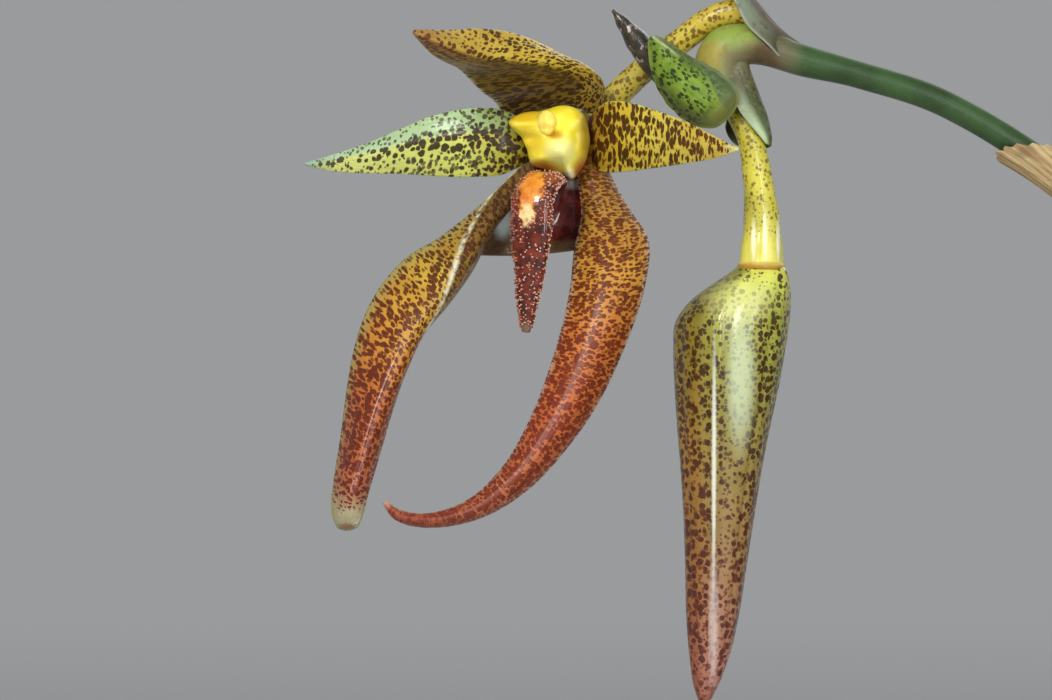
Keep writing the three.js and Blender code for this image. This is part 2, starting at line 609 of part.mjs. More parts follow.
// Lip: a hinged tongue that rises, bends over and hangs, covered in pale warts but for its groove
const lipStations = [
  // x, y, z, width, thickness
  [-1.4, 4.2, -8.6, 3, 2],
  [-1, -1.6, -7.6, 5, 2.5],
  [-1.4, -7, -6.6, 7.4, 3.1],
  [-3, -11.4, -6.6, 9, 3.8],
  [-4.6, -13.8, -10, 9.2, 4.1],
  [-5, -14.4, -16, 8.4, 3.9],
  [-5.2, -13.8, -23, 6.6, 3.4],
  [-5.7, -12.6, -30, 4.6, 2.8],
  [-6, -11.2, -36.4, 1.8, 1.4],
];
const warts = { count: 60, radius: 0.6, height: 1.1 };
function lip() {
  const path = smoothCurve(lipStations.map(([x, y, z]) => vector(x, y, z)));
  const widthAxis = vector(Math.cos(radians(facing)), -Math.sin(radians(facing)), 0);
  const sizeAt = (t, column) => {
    const place = t * (lipStations.length - 1);
    const k = Math.min(Math.floor(place), lipStations.length - 2);
    return THREE.MathUtils.lerp(lipStations[k][column], lipStations[k + 1][column], place - k) / 2;
  };
  const surface = (t, angle) => {
    const tangent = path.getTangent(t);
    const side = widthAxis.clone().addScaledVector(tangent, -widthAxis.dot(tangent)).normalize();
    const out = side.clone().cross(tangent).normalize();
    const groove = 1 - 0.45 * Math.exp(-(((angle - Math.PI / 2) / 0.5) ** 2)) * Math.sin(Math.PI * Math.min(2 * t, 1));
    return path
      .getPoint(t)
      .addScaledVector(side, sizeAt(t, 3) * Math.cos(angle))
      .addScaledVector(out, sizeAt(t, 4) * Math.sin(angle) * groove);
  };
  const sides = 12;
  const rings = 14;
  const body = loft(
    Array.from({ length: rings + 1 }, (_, i) =>
      Array.from({ length: sides }, (_, k) => surface(i / rings, (2 * Math.PI * k) / sides)),
    ),
  );
  const cones = Array.from({ length: warts.count }, (_, k) => {
    const t = between(0.3, 0.96);
    const gap = t < 0.62 ? 0.75 : 0.1;
    const turn = Math.PI / 2 + gap + random() * (2 * Math.PI - 2 * gap);
    const at = surface(t, turn);
    const outwards = at.clone().sub(path.getPoint(t)).normalize();
    const scale = between(0.75, 1.15);
    const cone = new THREE.ConeGeometry(warts.radius * scale, warts.height * scale + 0.5, 4, 1);
    const stand = new THREE.Quaternion().setFromUnitVectors(vector(0, 1, 0), outwards);
    cone.applyQuaternion(stand);
    const lift = outwards.multiplyScalar((warts.height * scale + 0.5) / 2 - 0.5);
    return cone.translate(at.x + lift.x, at.y + lift.y, at.z + lift.z);
  });
  return geometryOf(joined([body, ...cones]));
}

// The end of the scape, a little fatter, in the raceme's own place, to clear the bracts that wrap it
const rachis = stem(scapePath, 8, 36, seatGap).translate(-flowerAt.x, -flowerAt.y, -flowerAt.z);

// Bracts of the raceme
const flowerBractStations = [
  [[44.4, -1.8, 17.8], [46, 3, 24.6], [44.4, 7.8, 17.8]],
  [[40, -2.4, 21.6], [44.8, 3.2, 26.6], [40, 8.4, 22]],
  [[36.6, -2, 26.8], [42.8, 3.4, 29.2], [36, 8.8, 27.4]],
  [[34.2, -0.6, 31.6], [39.6, 3.6, 33], [33.4, 7.6, 32]],
  [[32.4, 3.2, 38.4], [32.8, 3.4, 38.6], [32.4, 3.6, 38.4]],
];
const budBractStations = [
  [[35, -2.2, 15.8], [38.2, 3, 16.6], [33.6, 8.6, 15]],
  [[36.6, -2, 10.8], [40.8, 2.8, 11], [34, 7, 8.8]],
  [[38.4, -1.8, 6.4], [42, 2.4, 6.8], [33.6, 5.6, 4.4]],
  [[40.4, -1.6, 3], [42.7, 1.8, 2.6], [36, 5.2, 1.2]],
  [[41.9, -0.4, 1.2], [42.8, 1.4, 0.6], [40.6, 4.6, 0.2]],
];

// Young bract: a boat wrapped round the young bud, open where the bud looks out
function youngBract() {
  const outer = stem(youngBractStations, 8, 9);
  const mouth = stem([[24.6, -3, 14.4, 2.4], [21.4, -1.6, 18.4, 4], [17, 0.4, 24, 5]], 8, 2);
  return geometryOf(cut(solidOf(outer), [mouth, stem(youngBudStations, 8, 8, seatGap), rachis]));
}

// Bark mix: it fills the pot, with chips of bark standing out of its top
function barkChip(angle, radius) {
  const [length, width, thickness] = [bark.length, bark.width, bark.thickness];
  const chip = new THREE.BoxGeometry(
    length * between(0.65, 1.1),
    width * between(0.7, 1.15),
    thickness * between(0.7, 1.2),
  );
  const place = chip.attributes.position;
  const corners = new Map();
  for (let i = 0; i < place.count; i++) {
    const corner = vector(0, 0, 0).fromBufferAttribute(place, i);
    const key = corner.toArray().map(Math.sign).join();
    if (!corners.has(key)) corners.set(key, vector(between(0.72, 1.05), between(0.72, 1.05), between(0.8, 1.1)));
    place.setXYZ(i, ...corner.multiply(corners.get(key)).toArray());
  }
  chip.rotateX(between(-0.3, 0.3)).rotateY(between(-0.3, 0.3)).rotateZ(between(0, Math.PI));
  return chip.translate(radius * Math.cos(angle), radius * Math.sin(angle), bark.surface + between(-0.6, 1.6));
}
function barkMix() {
  const top = bark.surface;
  const slack = seatGap + 0.1;
  const profile = [
    [0, pot.floor + slack],
    [potInnerRadius(pot.floor) - 2.6, pot.floor + slack],
    [potInnerRadius(pot.height * 0.5) - slack, pot.height * 0.5],
    [potInnerRadius(top) - slack, top - 2],
    [potInnerRadius(top) - slack - 3, top],
    [0, top],
  ];
  const fill = new THREE.LatheGeometry(profile.map(([r, z]) => new THREE.Vector2(r, z)), bark.sides);
  const goldenAngle = Math.PI * (3 - Math.sqrt(5));
  const spread = potInnerRadius(top) - 8;
  const chips = Array.from({ length: bark.chips }, (_, k) =>
    barkChip(goldenAngle * k, spread * Math.sqrt((k + 0.5) / bark.chips)),
  );
  const [low, high] = [top - 5, bulbFoot - 0.4];
  const bore = new THREE.CylinderGeometry(potInnerRadius(top) - 0.8, potInnerRadius(top) - 0.8, high - low, bark.sides);
  const inPot = joined(chips).intersect(solidOf(bore.rotateX(Math.PI / 2).translate(0, 0, (low + high) / 2)));
  const whole = solidOf(fill.rotateX(Math.PI / 2)).add(inPot);
  return geometryOf(cut(whole, rhizomeParts(seatGap)));
}

// Materials, with the colours of the real surfaces
const finish = (color, roughness) => new THREE.MeshStandardMaterial({ color, roughness, metalness: 0 });
const finishes = {
  clay: finish(0xb5603c, 0.9),
  bark: finish(0x5b3a26, 0.95),
  rhizome: finish(0x8a7a4a, 0.8),
  bulb: finish(0x7d9a3a, 0.45),
  sheath: finish(0xb39a6b, 0.85),
  leaf: finish(0x2f6b2a, 0.35),
  scape: finish(0x3f6a35, 0.45),
  bract: finish(0x7d9445, 0.5),
  spotted: finish(0xc9b62f, 0.35),
  sepal: finish(0xb8862c, 0.35),
  youngBud: finish(0x4a4030, 0.3),
  column: finish(0xf2cf2a, 0.3),
  anther: finish(0xf7e27a, 0.35),
  lip: finish(0x8a2a12, 0.3),
};

const plant = new THREE.Group();
const raceme = new THREE.Group();
raceme.position.copy(flowerAt);
plant.add(raceme);
function place(group, name, geometry, material) {
  const mesh = new THREE.Mesh(geometry, material);
  mesh.name = name;
  group.add(mesh);
}

place(plant, "pot", clayPot(), finishes.clay);
place(plant, "bark_mix", barkMix(), finishes.bark);
place(plant, "rhizome", geometryOf(joined(rhizomeParts())), finishes.rhizome);
bulbs.forEach((b, k) => {
  place(plant, `pseudobulb_${k + 1}`, bulb(b), finishes.bulb);
  place(plant, `bulb_sheath_${k + 1}`, bulbSheath(b), finishes.sheath);
  place(plant, `leaf_${k + 1}`, leaf(b), finishes.leaf);
});
place(plant, "scape", stem(scapePath, 8, 36), finishes.scape);
scapeSleeves.forEach((s, k) => {
  place(plant, `scape_sheath_${k + 1}`, sleeve(scapePath, { ...s, sides: 8, rows: 3 }), finishes.sheath);
});

// Pieces of the flower give way to the column and to the stalks that they grow from
const clearOf = (geometry, cutters) => geometryOf(cut(solidOf(geometry), cutters));
const core = columnCore(seatGap);
const receptacle = stem(pedicelStations, 8, 10, seatGap);
place(raceme, "pedicel", clearOf(stem(pedicelStations, 8, 10), [...core, rachis]), finishes.spotted);
place(raceme, "column", column(), finishes.column);
place(raceme, "anther_cap", ellipsoid(antherCap.at, antherCap.size, 10), finishes.anther);
place(raceme, "lip", lip(), finishes.lip);
const blades = [
  { name: "dorsal_sepal", stations: dorsalStations, crease: 0.45, rows: 14, columns: 8 },
  { name: "petal_left", stations: leftPetalStations, crease: 0, rows: 12, columns: 6 },
  { name: "petal_right", stations: rightPetalStations, crease: 0, rows: 11, columns: 6 },
  { name: "lateral_sepal_left", stations: leftSepalStations, crease: 0.1, rows: 22, columns: 6 },
  { name: "lateral_sepal_right", stations: rightSepalStations, crease: 0.1, rows: 20, columns: 6 },
];
for (const { name, stations, crease, rows, columns } of blades) {
  const blade = sheet(bladeFace(stations, crease), fleshy(1.3, 0.9), rows, columns);
  place(raceme, name, clearOf(blade, [...core, receptacle]), finishes.sepal);
}
place(raceme, "flower_bract", clearOf(sheet(bladeFace(flowerBractStations), () => 0.9, 8, 6), [rachis]), finishes.sheath);
place(raceme, "young_bract", youngBract(), finishes.bract);
place(raceme, "young_bud", stem(youngBudStations, 8, 8), finishes.youngBud);
const budStalk = (grow = 0) => stem(budStalkStations, 10, 10, grow);
const budSheath = sheet(bladeFace(budBractStations), () => 0.8, 5, 6);
place(raceme, "bud_bract", clearOf(budSheath, [rachis, budStalk(seatGap)]), finishes.bract);
place(raceme, "bud_stalk", budStalk(), finishes.spotted);
place(raceme, "bud", bud(), finishes.spotted);

export default plant;
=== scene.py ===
# A potted Bulbophyllum orchid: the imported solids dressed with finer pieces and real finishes.
# Tables are in millimetres, as in the part's source, and meshes are written in metres.
import math
import random

import bpy
import numpy as np
from mathutils import Euler, Matrix, Vector, noise


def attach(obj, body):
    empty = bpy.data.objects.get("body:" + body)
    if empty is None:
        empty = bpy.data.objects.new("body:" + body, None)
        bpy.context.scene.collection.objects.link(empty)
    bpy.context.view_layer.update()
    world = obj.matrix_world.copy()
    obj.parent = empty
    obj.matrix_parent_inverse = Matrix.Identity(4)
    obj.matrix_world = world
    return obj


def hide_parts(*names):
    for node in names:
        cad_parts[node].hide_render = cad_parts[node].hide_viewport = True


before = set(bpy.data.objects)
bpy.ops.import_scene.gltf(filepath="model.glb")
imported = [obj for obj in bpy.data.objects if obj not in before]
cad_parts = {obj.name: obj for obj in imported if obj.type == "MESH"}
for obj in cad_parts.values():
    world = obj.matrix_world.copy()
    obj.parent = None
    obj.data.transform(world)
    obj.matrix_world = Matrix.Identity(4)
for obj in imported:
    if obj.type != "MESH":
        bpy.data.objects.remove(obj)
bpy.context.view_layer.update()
random.seed(20261)
mm = 0.001
flowerAt = np.array([-189.0, 0.0, 330.0])  # the column, which every flower piece is placed from
facing = math.radians(25)  # the flower looks this much to the left of -Y


# small tools for meshes


def pickOnly(piece):
    bpy.ops.object.select_all(action="DESELECT")
    piece.select_set(True)
    bpy.context.view_layer.objects.active = piece


def startFrom(add, **settings):
    # a new object from one of Blender's own simple meshes
    bpy.ops.object.select_all(action="DESELECT")
    add(**settings)
    return bpy.context.object


def stampCopy(model, matrix):
    twin = model.copy()
    twin.data = model.data.copy()
    twin.data.transform(matrix)
    bpy.context.scene.collection.objects.link(twin)
    return twin


def applyModifier(piece, kind, **settings):
    pickOnly(piece)
    modifier = piece.modifiers.new(kind.lower(), kind)
    for key, value in settings.items():
        setattr(modifier, key, value)
    bpy.ops.object.modifier_apply(modifier=modifier.name)


def editAll(piece, *steps):
    # runs edit mode operators with everything selected
    pickOnly(piece)
    bpy.ops.object.mode_set(mode="EDIT")
    bpy.ops.mesh.select_all(action="SELECT")
    for step, settings in steps:
        step(**settings)
    bpy.ops.object.mode_set(mode="OBJECT")


def closeUp(piece):
    editAll(
        piece,
        (bpy.ops.mesh.remove_doubles, {"threshold": 2e-6}),
        (bpy.ops.mesh.normals_make_consistent, {"inside": False}),
    )


def joinInto(piece, others):
    pickOnly(piece)
    for other in others:
        other.select_set(True)
    bpy.ops.object.join()
    return piece


def placesOf(mesh):
    flat = np.empty(len(mesh.vertices) * 3, np.float32)
    mesh.vertices.foreach_get("co", flat)
    return flat.reshape(-1, 3).astype(float)


def setPlaces(mesh, points):
    mesh.vertices.foreach_set("co", np.asarray(points, np.float32).ravel())
    mesh.update()


def smoothStep(value, low, high):
    t = np.clip((value - low) / (high - low), 0, 1)
    return t * t * (3 - 2 * t)


def unit(vectors):
    return vectors / np.maximum(np.linalg.norm(vectors, axis=-1, keepdims=True), 1e-9)


def gridPiece(name, rows, columns, shape, rolled=False):
    # a grid whose points go where shape(u, w) says: u runs 0 to 1 along it, w -1 to 1 across or round it.
    # Map "zone" keeps u and w as 0 to 1, and map "surface" has millimetres along and across.
    piece = startFrom(bpy.ops.mesh.primitive_grid_add, x_subdivisions=rows, y_subdivisions=columns, size=2)
    piece.name = piece.data.name = name
    mesh = piece.data
    mesh.uv_layers[0].name = "zone"
    flat = placesOf(mesh)
    points, along, across = shape((flat[:, 0] + 1) / 2, flat[:, 1])
    setPlaces(mesh, points * mm)
    corners = np.empty(len(mesh.loops), np.int32)
    mesh.loops.foreach_get("vertex_index", corners)
    surface = mesh.uv_layers.new(name="surface")
    surface.data.foreach_set("uv", np.stack([along, across], 1)[corners].astype(np.float32).ravel())
    if rolled:
        closeUp(piece)
    return piece


def thicken(piece, thickness, share=None, offset=0.0):
    # share gives each point its part of the full thickness, in millimetres
    settings = {"thickness": thickness * mm, "offset": offset}
    if share is not None:
        group = piece.vertex_groups.new(name="body")
        for k, value in enumerate(np.clip(share, 0, 1)):
            group.add([k], float(value), "REPLACE")
        settings["vertex_group"] = "body"
    applyModifier(piece, "SOLIDIFY", **settings)
    if share is not None:
        piece.vertex_groups.clear()


def finishPiece(piece, material, nodes, angle=None):
    piece.data.materials.clear()
    piece.data.materials.append(material)
    pickOnly(piece)
    if angle is None:
        bpy.ops.object.shade_smooth()
    else:
        bpy.ops.object.shade_smooth_by_angle(angle=math.radians(angle))
    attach(piece, "root")
    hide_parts(*nodes)
    return piece


# curves, as the solids use them


def curveAt(stations, t):
    # centripetal Catmull-Rom curve through the stations
    points = np.array(stations, float)[:, :3]
    last = len(points) - 1
    place = np.clip(t, 0, 1) * last
    k = np.minimum(place.astype(int), last - 1)
    f = (place - k)[:, None]
    padded = np.vstack([2 * points[0] - points[1], points, 2 * points[-1] - points[-2]])
    p0, p1, p2, p3 = (padded[k + j] for j in range(4))
    d0, d1, d2 = (
        np.maximum(np.linalg.norm(b - a, axis=1), 1e-6)[:, None] ** 0.5
        for a, b in ((p0, p1), (p1, p2), (p2, p3))
    )
    m1 = ((p1 - p0) / d0 - (p2 - p0) / (d0 + d1) + (p2 - p1) / d1) * d1
    m2 = ((p2 - p1) / d1 - (p3 - p1) / (d1 + d2) + (p3 - p2) / d2) * d1
    step = p2 - p1
    return p1 + f * m1 + f * f * (3 * step - 2 * m1 - m2) + f**3 * (m1 + m2 - 2 * step)


def tangentsAt(stations, t):
    small = 1e-3
    return unit(curveAt(stations, np.minimum(t + small, 1)) - curveAt(stations, np.maximum(t - small, 0)))


def lengthsOf(points):
    return np.concatenate([[0], np.cumsum(np.linalg.norm(np.diff(points, axis=0), axis=1))])


def stationOf(u, rows):
    # a closed body's station for each point, and whether the point is one of its two ends
    row = np.rint(u * rows).astype(int)
    return np.clip(row - 1, 0, rows - 2), (row == 0) | (row == rows)


def framesAlong(stations, count):
    # places, two directions that don't twist, radii and lengths along a path
    t = np.linspace(0, 1, count + 1)
    at = curveAt(stations, t)
    tangent = tangentsAt(stations, t)
    side = np.empty_like(at)
    last = np.array([0.0, 1.0, 0.0])
    for k in range(count + 1):
        last = unit(last - tangent[k] * last.dot(tangent[k]))
        side[k] = last
    radii = np.array([row[3] for row in stations], float)
    place = t * (len(radii) - 1)
    k = np.minimum(place.astype(int), len(radii) - 2)
    radius = radii[k] + (radii[k + 1] - radii[k]) * smoothStep(place - k, 0, 1)
    return at, side, np.cross(tangent, side), radius, lengthsOf(at)


def turnedPiece(name, profile, sides, girth):
    # a profile of radius and height turned round the pot's axis
    rows = len(profile) - 1

    def skin(u, w):
        angle = math.pi * w + math.pi / 2
        r, z = np.array(profile, float)[np.rint(u * rows).astype(int)].T
        return np.stack([r * np.cos(angle), r * np.sin(angle), z], 1), z, angle * girth

    return gridPiece(name, rows, sides, skin, rolled=True)


def tubePiece(name, stations, rows, sides, relief=None, origin=(0, 0, 0)):
    # a closed round stem; its seam lies at the back. relief(u, angle) scales the radius.
    at, side, up, radius, length = framesAlong(stations, rows - 2)

    def shape(u, w):
        k, ends = stationOf(u, rows)
        angle = math.pi * w
        full = radius[k] * (relief(k / (rows - 2), angle) if relief else 1.0)
        reach = np.where(ends, 0.0, full)[:, None]
        out = -side[k] * np.cos(angle)[:, None] + up[k] * np.sin(angle)[:, None]
        return at[k] + out * reach + np.array(origin), length[k], angle * radius[k]

    return gridPiece(name, rows, sides, shape, rolled=True)


def bladeFace(stations, crease):
    # a petal-like face through stations of margin, middle and margin, and its lengths along and across
    lines = [[row[k] for row in stations] for k in range(3)]

    def face(u, w):
        a, m, b = (curveAt(line, u) for line in lines)
        w = w[:, None]
        rounded = a * (w * (w - 1) / 2) + m * (1 - w * w) + b * (w * (w + 1) / 2)
        straight = m + (np.where(w < 0, a, b) - m) * np.abs(w)
        return rounded + (straight - rounded) * crease

    def measure(u, w):
        a, m, b = (curveAt(line, u) for line in lines)
        t = np.linspace(0, 1, 400)
        half = (np.linalg.norm(a - m, axis=1) + np.linalg.norm(b - m, axis=1)) / 2
        return np.interp(u, t, lengthsOf(curveAt(lines[1], t))), w * half

    return face, measure


def faceNormals(face, u, w):
    step = 0.01
    along = face(np.minimum(u + step, 1), w) - face(np.maximum(u - step, 0), w)
    across = face(u, np.minimum(w + step, 1)) - face(u, np.maximum(w - step, -1))
    return unit(np.cross(along, across))


def bladePiece(name, look):
    # look: crease, rows, columns, body (thickness in the middle and at the margin), veins, wave
    face, measure = bladeFace(look["stations"], look.get("crease", 0))

    def shape(u, w):
        veins = look.get("veins", (0, 1))
        fade = smoothStep(u, 0.02, 0.12) * smoothStep(u, 1.0, 0.8)
        lift = veins[0] * np.cos(math.pi * veins[1] * w) * fade
        height, turns, phase = look.get("wave", (0, 1, 0))
        lift = lift + height * np.sin(2 * math.pi * turns * u + phase + 1.1 * w) * w * w * fade
        points = face(u, w) + faceNormals(face, u, w) * lift[:, None] + flowerAt
        return (points, *measure(u, w))

    piece = gridPiece(name, look["rows"], look["columns"], shape)
    u, w = gridShares(look["rows"] + 1, look["columns"] + 1)
    middle, edge = look["body"]
    thick = (middle + (edge - middle) * w * w) * (1 - 0.25 * u)
    thicken(piece, middle, thick / middle)
    applyModifier(piece, "SUBSURF", levels=1, render_levels=1)
    return piece


def gridShares(rows, columns):
    # u and w of a grid's points in the order that Blender keeps them
    w, u = np.meshgrid(np.linspace(-1, 1, columns), np.linspace(0, 1, rows), indexing="ij")
    return u.ravel(), w.ravel()


# small tools for finishes


def tint(red, green, blue):
    # a colour as it shows on a screen, 0 to 255
    shares = (c / 255 for c in (red, green, blue))
    return tuple(((c + 0.055) / 1.055) ** 2.4 if c > 0.04 else c / 12.92 for c in shares) + (1.0,)


class Painter:
    # short names for the nodes of one tree; colours are given as they show on a screen, 0 to 255
    def __init__(self, tree):
        self.tree = tree

    def node(self, kind, inputs=None, **settings):
        made = self.tree.nodes.new(kind if kind.startswith("Node") else "ShaderNode" + kind)
        for key, value in settings.items():
            setattr(made, key, value)
        for key, value in (inputs or {}).items():
            if isinstance(value, bpy.types.NodeSocket):
                self.tree.links.new(value, made.inputs[key])
            else:
                made.inputs[key].default_value = value
        return made

    def math(self, operation, a, b=0.0):
        return self.node("Math", {0: a, 1: b}, operation=operation).outputs[0]

    def times(self, a, b):
        return self.math("MULTIPLY", a, b)

    def span(self, value, low, high, start=0.0, end=1.0):
        # eases from start at low to end at high
        inputs = {"Value": value, "From Min": low, "From Max": high, "To Min": start, "To Max": end}
        return self.node("MapRange", inputs, interpolation_type="SMOOTHSTEP").outputs[0]

    def ramp(self, value, stops):
        # a stop is its place and then a number or a colour
        made = self.node("ValToRGB", {0: value})
        line = made.color_ramp
        for k, (at, *rest) in enumerate(stops):
            element = line.elements[k] if k < 2 else line.elements.new(at)
            element.position = at
            element.color = tint(*rest) if len(rest) == 3 else (*rest * 3, 1.0)
        return made.outputs[0]

    def mix(self, share, a, b, way="MIX"):
        a, b = (tint(*c) if isinstance(c, tuple) else c for c in (a, b))
        return self.node("Mix", {0: share, 6: a, 7: b}, data_type="RGBA", blend_type=way).outputs[2]

    def noise(self, vector, scale, detail=2.0, roughness=0.5, output=0):
        inputs = {"Vector": vector, "Scale": scale, "Detail": detail, "Roughness": roughness}
        return self.node("TexNoise", inputs).outputs[output]

    def drawn(self, vector, scales, detail, roughness=0.5):
        # noise with a scale of its own along each axis
        return self.noise(self.vector("MULTIPLY", vector, scales), 1.0, detail, roughness)

    def drift(self, vector, scale, detail):
        # a wandering step to any side
        return self.vector("SUBTRACT", self.noise(vector, scale, detail, output=1), (0.5, 0.5, 0.5))

    def vector(self, operation, a, b):
        return self.node("VectorMath", {0: a, 1: b}, operation=operation).outputs[0]

    def place(self):
        # where a point lies, in millimetres
        at = self.node("TexCoord").outputs["Object"]
        return self.vector("MULTIPLY", at, (1000, 1000, 1000))

    def parts(self, vector):
        return self.node("SeparateXYZ", {0: vector}).outputs

    def surface(self):
        return self.node("UVMap", uv_map="surface").outputs[0]

    def zone(self):
        parts = self.parts(self.node("UVMap", uv_map="zone").outputs[0])
        return parts[0], parts[1]

    def edge(self, v):
        # 0 along the middle of a blade, 1 at its margins
        return self.math("ABSOLUTE", self.math("SUBTRACT", self.times(v, 2.0), 1.0))

    def blob(self, place, centre, radii, soft):
        # 1 inside an ellipsoid, measured from the column, easing to 0 outside
        away = self.vector("DIVIDE", self.vector("SUBTRACT", place, tuple(flowerAt + centre)), radii)
        far = self.node("VectorMath", {0: away}, operation="LENGTH").outputs["Value"]
        return self.span(far, 1 + soft, 1 - soft)

    def touches(self, paint, place, rows):
        # patches of colour; some are stains, and on some pieces painted highlights, painted sheen and painted
        # shade: centre, radii, softness, colour and, where it isn't full, strength
        for centre, radii, soft, colour, *strength in rows:
            share = self.blob(place, centre, radii, soft)
            paint = self.mix(self.times(share, strength[0]) if strength else share, paint, colour)
        return paint

    def skin(self, place, fineness):
        inputs = {"Vector": place, "Fineness": fineness}
        return self.node("Group", inputs, node_tree=groups["skin"]).outputs["Height"]

    def dress(self, paint, height, depth):
        # gives the material its colour and a relief of this depth in millimetres
        relief = {"Height": height, "Distance": depth * mm, "Strength": 1.0}
        self.tree.links.new(paint, self.inputs["Base Color"])
        self.tree.links.new(self.node("Bump", relief).outputs[0], self.inputs["Normal"])
        return self.material


def newGroup(name, inputs, outputs):
    group = bpy.data.node_groups.new(name, "ShaderNodeTree")
    for label, value in inputs.items():
        kind = "NodeSocketVector" if value is None else "NodeSocketFloat"
        socket = group.interface.new_socket(label, in_out="INPUT", socket_type=kind)
        if value is not None:
            socket.default_value = value
    for label in outputs:
        group.interface.new_socket(label, in_out="OUTPUT", socket_type="NodeSocketFloat")
    p = Painter(group)
    return p, p.node("NodeGroupInput").outputs, p.node("NodeGroupOutput").inputs


def speckleGroup(dimensions):
    # spots, one a cell of the vector's unit grid, with wandering rows, ragged edges and some left out
    inputs = {"Vector": None, "Size": 0.4, "Soft": 0.07, "Wander": 0.3, "Ragged": 0.3, "Missing": 0.1}
    p, given, result = newGroup("speckle" + dimensions, inputs, ["Mask", "Tone"])
    drift = {0: p.drift(given["Vector"], 0.7, 1.0), "Scale": given["Wander"]}
    at = p.vector("ADD", given["Vector"], p.node("VectorMath", drift, operation="SCALE").outputs[0])
    inputs = {"Vector": at, "Scale": 1.0, "Randomness": 0.85}
    cells = p.node("TexVoronoi", inputs, voronoi_dimensions=dimensions)
    parts = p.parts(cells.outputs["Color"])
    radius = p.times(given["Size"], p.span(parts[0], 0, 1, 0.6, 1.25))
    rough = p.math("SUBTRACT", p.noise(given["Vector"], 1.7, 1.5), 0.5)
    far = p.math("ADD", cells.outputs["Distance"], p.times(rough, given["Ragged"]))
    low, high = p.math("ADD", radius, given["Soft"]), p.math("SUBTRACT", radius, given["Soft"])
    kept = p.math("GREATER_THAN", parts[1], given["Missing"])
    p.tree.links.new(p.times(p.span(far, low, high), kept), result["Mask"])
    p.tree.links.new(parts[2], result["Tone"])
    return p.tree


def skinGroup():
    # the fine wet cells of a petal
    p, given, result = newGroup("skinCells", {"Vector": None, "Fineness": 4.0}, ["Height"])
    cells = p.node("TexVoronoi", {"Vector": given["Vector"], "Scale": given["Fineness"]})
    swell = p.noise(given["Vector"], 0.5, 3.0)
    height = p.math("ADD", p.times(cells.outputs["Distance"], -0.35), swell)
    p.tree.links.new(height, result["Height"])
    return p.tree


groups = {"flat": speckleGroup("2D"), "solid": speckleGroup("3D"), "skin": skinGroup()}


def newFinish(name, rough=0.5, coat=0.0, coatRough=0.15, soft=0.0, shine=0.5):
    # soft is how much light goes into the flesh
    material = bpy.data.materials.new(name)
    material.use_nodes = True
    p = Painter(material.node_tree)
    p.material = material
    p.inputs = material.node_tree.nodes["Principled BSDF"].inputs
    values = {"Roughness": rough, "Specular IOR Level": shine, "Coat Weight": coat, "Coat Roughness": coatRough}
    values |= {"Subsurface Weight": soft, "Subsurface Scale": 0.0015, "Subsurface Radius": (1.0, 0.6, 0.25)}
    for key, value in values.items():
        p.inputs[key].default_value = value
    return p


petalGloss = {"rough": 0.42, "coat": 0.2, "coatRough": 0.16, "soft": 0.03, "shine": 0.2}


def spottedFinish(name, look):
    # A petal's finish. ground, and other for the side where w is under 0, run from base to tip, and so
    # do the spots' colour and size. cell is the spots' spacing along and across; in a solid piece it
    # is one number. margin: colour, and where it starts and is full on the way from middle to edge.
    p = newFinish(name, **look.get("gloss", petalGloss))
    place = p.place()
    u, v = p.zone()
    paint = p.ramp(u, look["ground"])
    # the other side's ramp is painted shade on the dorsal sepal and the bud, and a painted sheen on the left
    # petal and the bud bract
    if "other" in look:
        paint = p.mix(p.span(v, *look.get("divide", (0.53, 0.45))), paint, p.ramp(u, look["other"]))
    cloud = p.span(p.noise(place, 0.16, 3.0), 0.3, 0.75, 0.0, 0.55)
    paint = p.mix(cloud, paint, p.mix(1.0, paint, look["cloud"], "MULTIPLY"))
    if "margin" in look:
        colour, start, full = look["margin"]
        paint = p.mix(p.times(p.span(p.edge(v), start, full), 0.85), paint, colour)
    for layer in look["spots"]:
        cell, seed = layer["cell"], layer["seed"]
        flat = isinstance(cell, tuple)
        if flat:
            scaled = p.vector("MULTIPLY", p.surface(), (1 / cell[0], 1 / cell[1], 0))
        else:
            scaled = p.vector("MULTIPLY", place, (1 / cell,) * 3)
        size = p.ramp(u, layer["size"])
        if "across" in layer:
            size = p.times(size, p.ramp(v, layer["across"]))
        inputs = {"Vector": p.vector("ADD", scaled, (seed, 0 if flat else seed, seed)), "Size": size}
        inputs |= {key.title(): layer[key] for key in ("soft", "wander", "ragged", "missing") if key in layer}
        spots = p.node("Group", inputs, node_tree=groups["flat" if flat else "solid"]).outputs
        colour = p.ramp(u, layer["colour"])
        colour = p.mix(p.times(spots["Tone"], 0.3), colour, layer.get("tone", (110, 62, 26)))
        paint = p.mix(p.times(spots["Mask"], layer.get("strength", 0.95)), paint, colour)
    # a painted highlight line along the crest, broken up by noise, and painted shade on the side beyond it,
    # which turns away from the light
    if "crest" in look:
        crest = look["crest"]
        past = p.math("SUBTRACT", v, p.ramp(u, crest["line"]))
        paint = p.mix(p.span(past, 0.0, 0.06, 0.0, 0.55), paint, crest["shadeBeyond"])
        line = p.times(p.span(p.math("ABSOLUTE", past), 0.075, 0.0), p.span(u, *crest["fade"]))
        glintBreakup = p.span(p.noise(place, 0.7, 3), 0.36, 0.6, 0.1, 0.8)
        paint = p.mix(p.times(line, glintBreakup), paint, crest["light"])
    paint = p.touches(paint, place, look.get("touches", []))
    return p.dress(paint, p.skin(place, 3.5), look.get("relief", 0.06))


# the flower's blades

